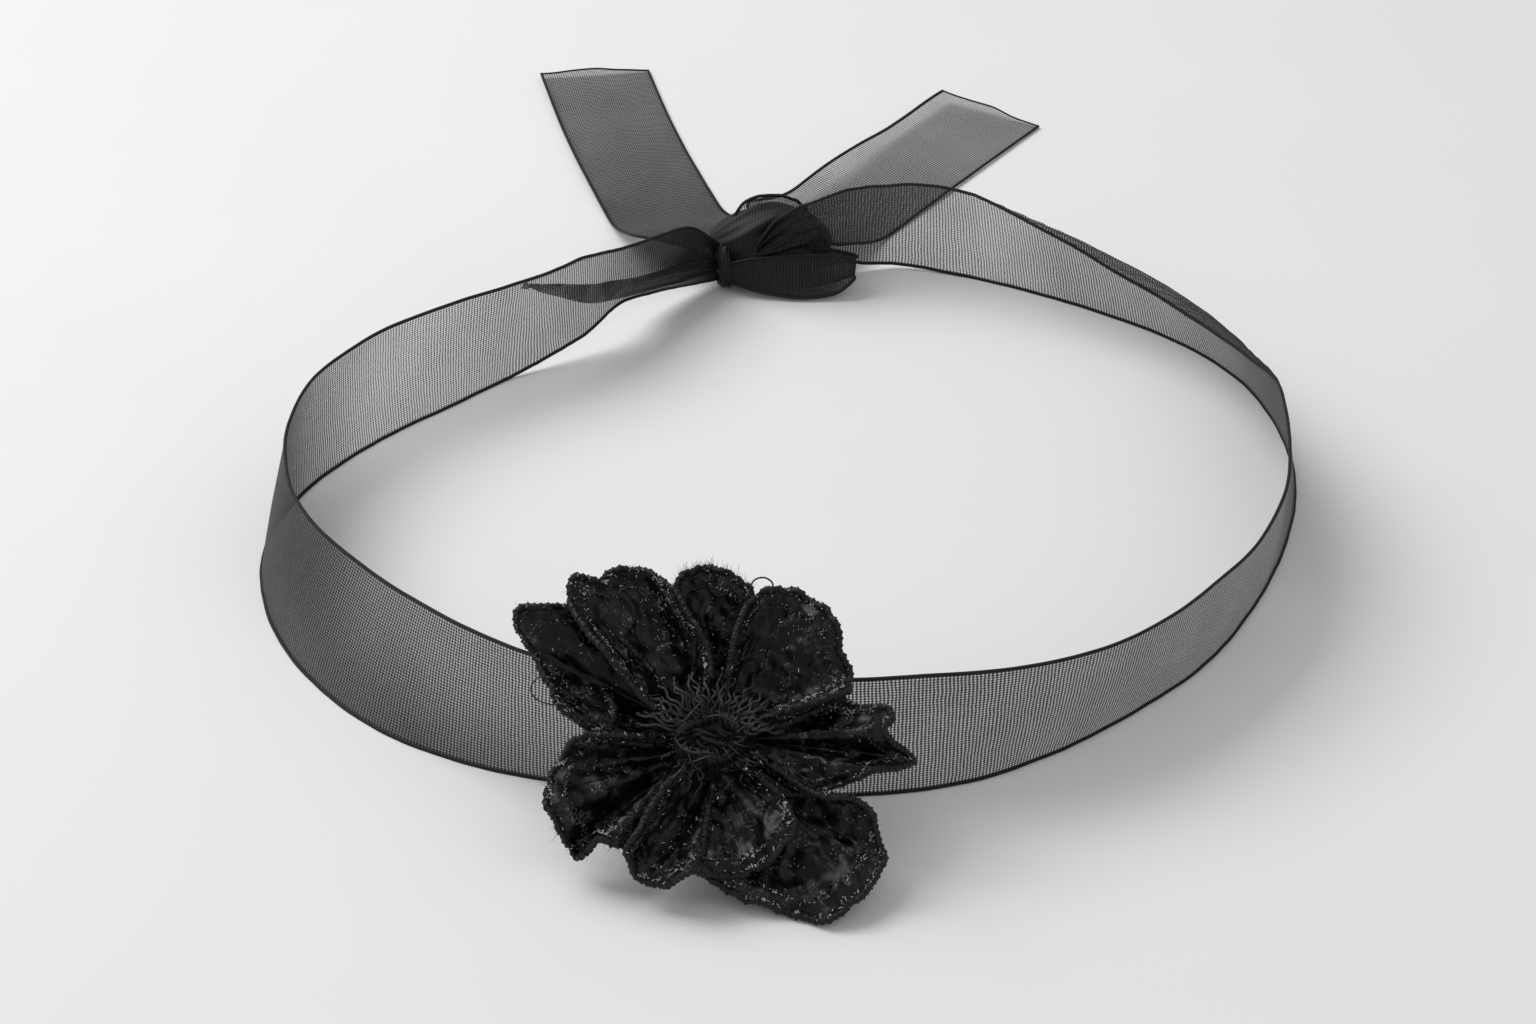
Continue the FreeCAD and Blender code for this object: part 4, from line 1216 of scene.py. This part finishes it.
    def stitching(self, placed: np.ndarray, rng: np.random.Generator) -> bpy.types.Object:
        """Scatter short curled ends of thread over the blade, mostly near its rim."""
        strands = []
        for _ in range(self.petal.stitches // 2):
            i = int(rng.integers(2, self.along_steps - 2))
            j = int(self.reach_steps * (1 - 0.55 * rng.random() ** 2.2))
            normal = self.facing(placed, i, j)
            heading = unit(np.cross(normal, rng.normal(size=3)))
            side = np.cross(normal, heading)
            length = rng.uniform(0.7, 2.0)
            curl = rng.uniform(-0.6, 0.6)
            foot = placed[i, j] + normal * (self.wall / 2 + 0.08)
            steps = np.linspace(-0.5, 0.5, 5)[:, None]
            strands.append(foot + heading * length * steps + side * curl * length * (steps ** 2 * 2)
                           + normal * 0.25 * (1 - (2 * steps) ** 2))
        return threads("stitches_" + self.petal.name, strands, 0.09, self.finishes.thread)

    def painted_highlights(self, placed: np.ndarray, rng: np.random.Generator) -> bpy.types.Object:
        """Lay short loops of thread, coloured light grey as painted highlights, along the rim and the
        couching, and a few on the ridges, mostly where the blade faces half-way between the key light and the
        camera.
        """
        strands = []
        while len(strands) < self.petal.stitches * 2.0:
            i = int(rng.integers(1, self.along_steps - 1))
            band = rng.random()
            if band < 0.42:
                share = 1.0 - abs(rng.normal(0.0, 0.012))
            elif band < 0.72:
                share = 0.88 + rng.normal(0.0, 0.012)
            else:
                share = rng.uniform(0.35, 0.98)
            j = int(round(self.reach_steps * min(share, 1.0)))
            normal = self.facing(placed, i, j)
            if noise.noise(Vector(placed[i, j]) * 0.3) < 0.02 and rng.random() > 0.2:
                continue
            # Painted highlight: keep a loop mostly where the blade faces half-way between the key light and
            # the camera.
            if rng.random() > ((max(normal @ PAINTED_HIGHLIGHT_WAY, 0.62) - 0.62) / 0.38) ** 1.5 + 0.12:
                continue
            heading = unit(np.cross(normal, rng.normal(size=3)))
            proud = self.cord_radius * 2.1 if share > 0.975 else self.wall / 2 + 0.16
            foot = placed[i, j] + normal * proud
            length = 0.12 + 0.55 * rng.random() ** 3
            middle = foot + heading * length * 0.5 + normal * 0.08
            strands.append(np.stack([foot, middle, foot + heading * length]))
        return threads("glints_" + self.petal.name, strands, 0.066, self.finishes.painted_highlight)

    def fuzz(self, placed: np.ndarray, rng: np.random.Generator) -> bpy.types.Object:
        """Fray the rim into fine hairs."""
        strands = []
        for _ in range(self.petal.hairs):
            i = int(rng.integers(1, self.along_steps - 1))
            j = self.reach_steps - int(abs(rng.normal(0, 1.4)))
            outward = unit(placed[i, -1] - placed[i, -4])
            normal = self.facing(placed, i, j)
            heading = unit(outward * rng.uniform(0.3, 1.2) + normal * rng.uniform(-0.2, 0.9)
                           + rng.normal(size=3) * 0.35)
            length = self.petal.hair_length * rng.uniform(0.4, 1.7)
            droop = rng.normal(size=3) * 0.25
            foot = placed[i, j]
            steps = np.linspace(0.0, 1.0, 4)[:, None]
            hair = foot + heading * (length + self.cord_radius) * steps + droop * steps ** 2 * length
            hair[:, 2] = np.maximum(hair[:, 2], 0.2)
            strands.append(hair)
        return threads("fuzz_" + self.petal.name, strands, 0.055, self.finishes.cord, taper=True)


LOOSE_LOOPS = (
    ((-26.5, 9.0, 6.5), (-29.0, 9.4, 7.0), (-30.6, 7.4, 6.8), (-29.4, 5.4, 6.6), (-26.0, 4.6, 6.4),
     (-24.5, 6.0, 6.6)),
    ((5.6, 22.6, 10.2), (6.6, 24.9, 10.8), (8.4, 25.4, 11.0), (9.8, 24.4, 10.9), (9.4, 22.8, 10.4)),
)


@dataclass
class FlowerHeart:
    """The flower's middle: a wound ring, a fan of stamen threads and the stitches that hold it."""

    finishes: Finishes
    ring_centre: tuple[float, float, float] = (-0.4, -0.8, 8.6)
    ring_radii: tuple[float, float] = (5.2, 3.5)
    ring_wire: float = 0.95
    stamen_count: int = 36
    stamen_radius: float = 0.27

    def build(self) -> list[bpy.types.Object]:
        """Make the ring, the stamens and the stitches."""
        rng = np.random.default_rng(77)
        pieces = [self.ring(), self.stamens(rng), self.sewing(rng)]
        for piece in pieces:
            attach(piece, BODY)
        return pieces

    def ring_line(self, shares: np.ndarray, grow: float = 0.0, lift: float = 0.0) -> np.ndarray:
        """Points round the ring in the flower's frame."""
        angle = shares * math.tau
        x = (self.ring_radii[0] + grow) * np.cos(angle)
        y = (self.ring_radii[1] + grow) * np.sin(angle)
        z = np.full_like(angle, lift) + 0.35 * np.sin(angle * 3 + 0.7)
        return np.stack([x, y, z], -1) + np.array(self.ring_centre)

    def ring(self) -> bpy.types.Object:
        """Wind several strands into the gathered ring."""
        strands = []
        shares = np.linspace(0.0, 1.0, 90)
        for turn in range(5):
            swing = turn * math.tau / 5
            span = 1.0 if turn < 2 else 0.56
            core = self.ring_line(shares * span + turn * 0.02)
            strands.append(wound(core, self.ring_wire * 0.75, 7.5 + turn, steps=12, phase=swing))
        for turn in range(3):
            core = self.ring_line(shares + turn * 0.3, -1.9 - 0.5 * turn, -0.7)
            strands.append(wound(core, 0.5, 4.0 + turn, steps=9, phase=turn * 2.0))
        piece = threads("centre_coil_strands", [on_flower(strand) for strand in strands], 0.5,
                        self.finishes.cord, round_steps=1)
        over = wound(self.ring_line(shares), self.ring_wire + 0.42, 1.5, steps=9)
        wraps = threads("centre_coil_wraps", [on_flower(over)], 0.14, self.finishes.thread)
        wraps.parent = piece
        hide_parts("centre_coil")
        return piece

    def stamens(self, rng: np.random.Generator) -> bpy.types.Object:
        """Fan crinkled threads out from the ring over the petals."""
        strands = []
        for index in range(self.stamen_count):
            share = (index + rng.uniform(-0.3, 0.3)) / self.stamen_count
            direction = math.radians(4.0 + 168.0 * share)
            away = np.array([math.cos(direction), math.sin(direction), 0.0])
            side = np.array([-away[1], away[0], 0.0])
            start = self.ring_line(np.array([direction / math.tau]), 0.3, 0.2)[0]
            length = rng.uniform(4.2, 7.4)
            steps = np.linspace(0.0, 1.0, 16)[:, None]
            crinkle = np.sin(steps * rng.uniform(9.0, 15.0) + rng.uniform(0, 6)) * rng.uniform(0.2, 0.5)
            hump = 1.3 * np.sin(steps * math.pi * 0.9) - 0.6 * steps
            line = start + away * length * steps + side * (crinkle + 0.8 * rng.uniform(-1, 1) * steps ** 2)
            line[:, 2:] += hump + np.cos(steps * 11.0 + index) * 0.18
            strands.append(on_flower(line))
        piece = threads("stamen_threads_fan", strands, self.stamen_radius, self.finishes.thread,
                        round_steps=1)
        knobs = threads("stamen_ends", [self.knob(strand) for strand in strands], 0.38, self.finishes.cord,
                        round_steps=1)
        knobs.parent = piece
        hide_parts("stamen_threads")
        return piece

    @staticmethod
    def knob(strand: np.ndarray) -> np.ndarray:
        """The short thick end of one stamen."""
        tip = strand[-1]
        back = unit(strand[-1] - strand[-3])
        return np.stack([tip - back * 0.3, tip, tip + back * 0.45])

    def sewing(self, rng: np.random.Generator) -> bpy.types.Object:
        """Criss-cross loose stitches over the ring and down over the lower petals."""
        strands = []
        for index in range(6):
            direction = rng.uniform(0, math.tau)
            start = self.ring_line(np.array([direction / math.tau]), 0.4, 1.0)[0]
            spread = rng.uniform(0.7, 1.3) if index % 2 else rng.uniform(-1.3, -0.6)
            end = self.ring_line(np.array([(direction + spread) / math.tau]), rng.uniform(-0.5, 2.6), 0.9)[0]
            steps = np.linspace(0.0, 1.0, 10)[:, None]
            line = start + (end - start) * steps
            line[:, 2:] += 0.8 * np.sin(steps * math.pi)
            line[:, :2] += np.sin(steps * 5.0 + index) * 0.4
            strands.append(on_flower(line))
        for _ in range(13):
            angle = rng.uniform(math.radians(190.0), math.radians(350.0))
            start = np.array([math.cos(angle) * 6.0, math.sin(angle) * 5.0 - 1.0, 7.6])
            reach = rng.uniform(2.5, 6.0)
            away = np.array([math.cos(angle + rng.uniform(-0.5, 0.5)), math.sin(angle), 0.0])
            steps = np.linspace(0.0, 1.0, 10)[:, None]
            line = start + away * reach * steps
            line[:, :1] += np.sin(steps * rng.uniform(5, 9) + rng.uniform(0, 6)) * 0.5
            line[:, 2:] += 0.6 * np.sin(steps * math.pi) + 1.6 * steps
            strands.append(on_flower(line))
        for loop in LOOSE_LOOPS:
            strands.append(on_flower(Path(loop).at(np.linspace(0.0, 1.0, 20))))
        piece = threads("sewing_threads_crossed", strands, 0.17, self.finishes.thread)
        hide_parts("sewing_threads")
        return piece


@dataclass
class FeltDisc:
    """A cut felt disc that stands behind the flower."""

    node: str
    stitches: int
    finishes: Finishes

    def build(self) -> list[bpy.types.Object]:
        """Copy the disc's size and place from its CAD node, then round, ruffle and edge it."""
        low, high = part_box(self.node)
        axis = self.axis()
        radius = (high.z - low.z) / 2
        centre = (low + high) / 2
        wall = 0.0012
        mesh = bmesh.new()
        bmesh.ops.create_circle(mesh, cap_ends=True, radius=radius, segments=72)
        faces = bmesh.ops.extrude_face_region(mesh, geom=list(mesh.faces))["geom"]
        raised = [item for item in faces if isinstance(item, bmesh.types.BMVert)]
        bmesh.ops.translate(mesh, verts=raised, vec=(0, 0, wall))
        bmesh.ops.recalc_face_normals(mesh, faces=mesh.faces)
        rims = [edge for edge in mesh.edges if edge.calc_face_angle(0.0) > 1.0]
        bmesh.ops.bevel(mesh, geom=rims, offset=wall * 0.3, offset_type="OFFSET", segments=3, profile=0.5,
                        affect="EDGES", material=-1)
        caps = [face for face in mesh.faces if len(face.verts) > 8]
        for _ in range(5):
            bmesh.ops.inset_region(mesh, faces=caps, thickness=radius * 0.16)
        bmesh.ops.translate(mesh, verts=mesh.verts, vec=(0, 0, -wall / 2))
        for vert in mesh.verts:
            angle = math.atan2(vert.co.y, vert.co.x)
            wear = 1 + 0.012 * math.sin(angle * 7 + 1) + 0.008 * math.sin(angle * 19)
            vert.co.x *= wear
            vert.co.y *= wear
        turn = Vector((0, 0, 1)).rotation_difference(axis).to_matrix()
        bmesh.ops.rotate(mesh, verts=mesh.verts, cent=(0, 0, 0), matrix=turn)
        bmesh.ops.translate(mesh, verts=mesh.verts, vec=centre)
        disc = to_piece(self.node + "_felt", mesh, self.finishes.felt)
        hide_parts(self.node)
        strands = []
        for index in range(self.stitches):
            angle = index / self.stitches * math.tau
            out = turn @ Vector((math.cos(angle), math.sin(angle), 0.0))
            bends = ((0.84, 0.62), (0.93, 0.75), (1.01, 0.1), (1.0, -0.5))
            points = [centre + out * radius * far + axis * wall * high for far, high in bends]
            strands.append(np.array(points) / MM)
        rim = [centre + turn @ Vector((math.cos(a), math.sin(a), 0.0)) * radius * 1.02
               for a in np.linspace(0, math.tau, 97)]
        strands.append(np.array(rim) / MM)
        sewn = threads(self.node + "_blanket_stitch", strands, 0.2, self.finishes.cord,
                       round_steps=1)
        for piece in (disc, sewn):
            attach(piece, BODY)
        return [disc, sewn]

    def axis(self) -> Vector:
        """The way that the disc faces, read from its node's own facets."""
        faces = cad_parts[self.node].data.polygons
        largest = max(faces, key=lambda face: face.area)
        return largest.normal.copy()


# ---------------------------------------------------------------- studio
@dataclass
class Studio:
    """Plain pale floor, soft light and the camera."""

    floor_colour: tuple[float, float, float] = (0.78, 0.765, 0.755)
    camera_place: tuple[float, float, float] = (-3.5, -560.0, 378.0)
    camera_tilt: float = 56.0
    camera_lens: float = 82.03

    def build(self) -> None:
        """Make the floor, the lights, the world and the camera."""
        self.floor()
        self.area("window", (-0.80, 0.50, 1.20), 1.1, 17.0)
        self.area("lamp", (-0.50, 0.10, 0.48), 0.22, 0.5)
        self.area("fill", (0.55, -0.65, 0.8), 1.1, 2.0)
        world = bpy.data.worlds.new("studio")
        world.use_nodes = True
        background = world.node_tree.nodes["Background"]
        background.inputs["Color"].default_value = (0.97, 0.98, 1.0, 1.0)
        background.inputs["Strength"].default_value = 0.42
        bpy.context.scene.world = world
        bpy.context.scene.view_settings.view_transform = "Standard"
        camera_data = bpy.data.cameras.new("camera")
        camera_data.lens = self.camera_lens
        camera_data.sensor_width = 36.0
        camera_data.clip_start = 0.01
        camera = bpy.data.objects.new("camera", camera_data)
        camera.location = Vector(self.camera_place) * MM
        camera.rotation_euler = (math.radians(self.camera_tilt), 0.0, 0.0)
        bpy.context.scene.collection.objects.link(camera)
        bpy.context.scene.camera = camera

    def floor(self) -> None:
        """Lay the floor."""
        mesh = bmesh.new()
        bmesh.ops.create_grid(mesh, x_segments=2, y_segments=2, size=3.0)
        data = bpy.data.meshes.new("floor")
        mesh.to_mesh(data)
        mesh.free()
        tree = NodeTree("floor")
        soft = tree.noise(tree.place(), 60.0, 2.0)
        red, green, blue = self.floor_colour
        low = (red * 0.985, green * 0.985, blue * 0.985)
        tree.set(Base_Color=tree.colours(soft, (0.3, low), (0.7, self.floor_colour)), Roughness=0.9)
        data.materials.append(tree.material)
        floor = bpy.data.objects.new("floor", data)
        bpy.context.scene.collection.objects.link(floor)

    @staticmethod
    def area(name: str, place: tuple[float, float, float], size: float, power: float) -> None:
        """Hang one soft square light that faces the headband."""
        data = bpy.data.lights.new(name, "AREA")
        data.size = size
        data.energy = power
        lamp = bpy.data.objects.new(name, data)
        lamp.location = place
        lamp.rotation_euler = (-Vector(place)).to_track_quat("-Z", "Y").to_euler()
        bpy.context.scene.collection.objects.link(lamp)


# ---------------------------------------------------------------- whole headband
def main() -> None:
    """Build the headband around its frame, in the order that a maker would."""
    logging.basicConfig(level=logging.INFO, format="%(name)s: %(message)s")
    Studio().build()
    finishes = Finishes()
    pieces = RibbonLoop().build(finishes)
    pieces += Tail("left_tail", (-19.5, 101.0), 106.5, 88.0, 2.2, 4.0, 0.6,
                   (0.95, 0.76, 0.68, 0.64, 0.60), 61, (0.0, 0.4, 0.9, 0.5, 0.2), 0.6).build(finishes)
    pieces += Tail("right_tail", (2.5, 100.5), 54.8, 79.0, 0.2, -2.0, 1.6,
                   (0.95, 0.66, 0.56, 0.53, 0.52), 71, (1.5, 3.2, 4.0, 2.4, 1.0)).build(finishes)
    pieces += Knot().build(finishes)
    pieces += FeltDisc("flower_base", 0, finishes).build()
    pieces += FeltDisc("backing_disc", 44, finishes).build()
    for petal in PETALS:
        pieces += PetalWork(petal, finishes).build()
    pieces += FlowerHeart(finishes).build()
    for piece in pieces:
        log.info("%s: %d faces", piece.name, len(piece.data.polygons))


if __name__ == "__main__":
    main()
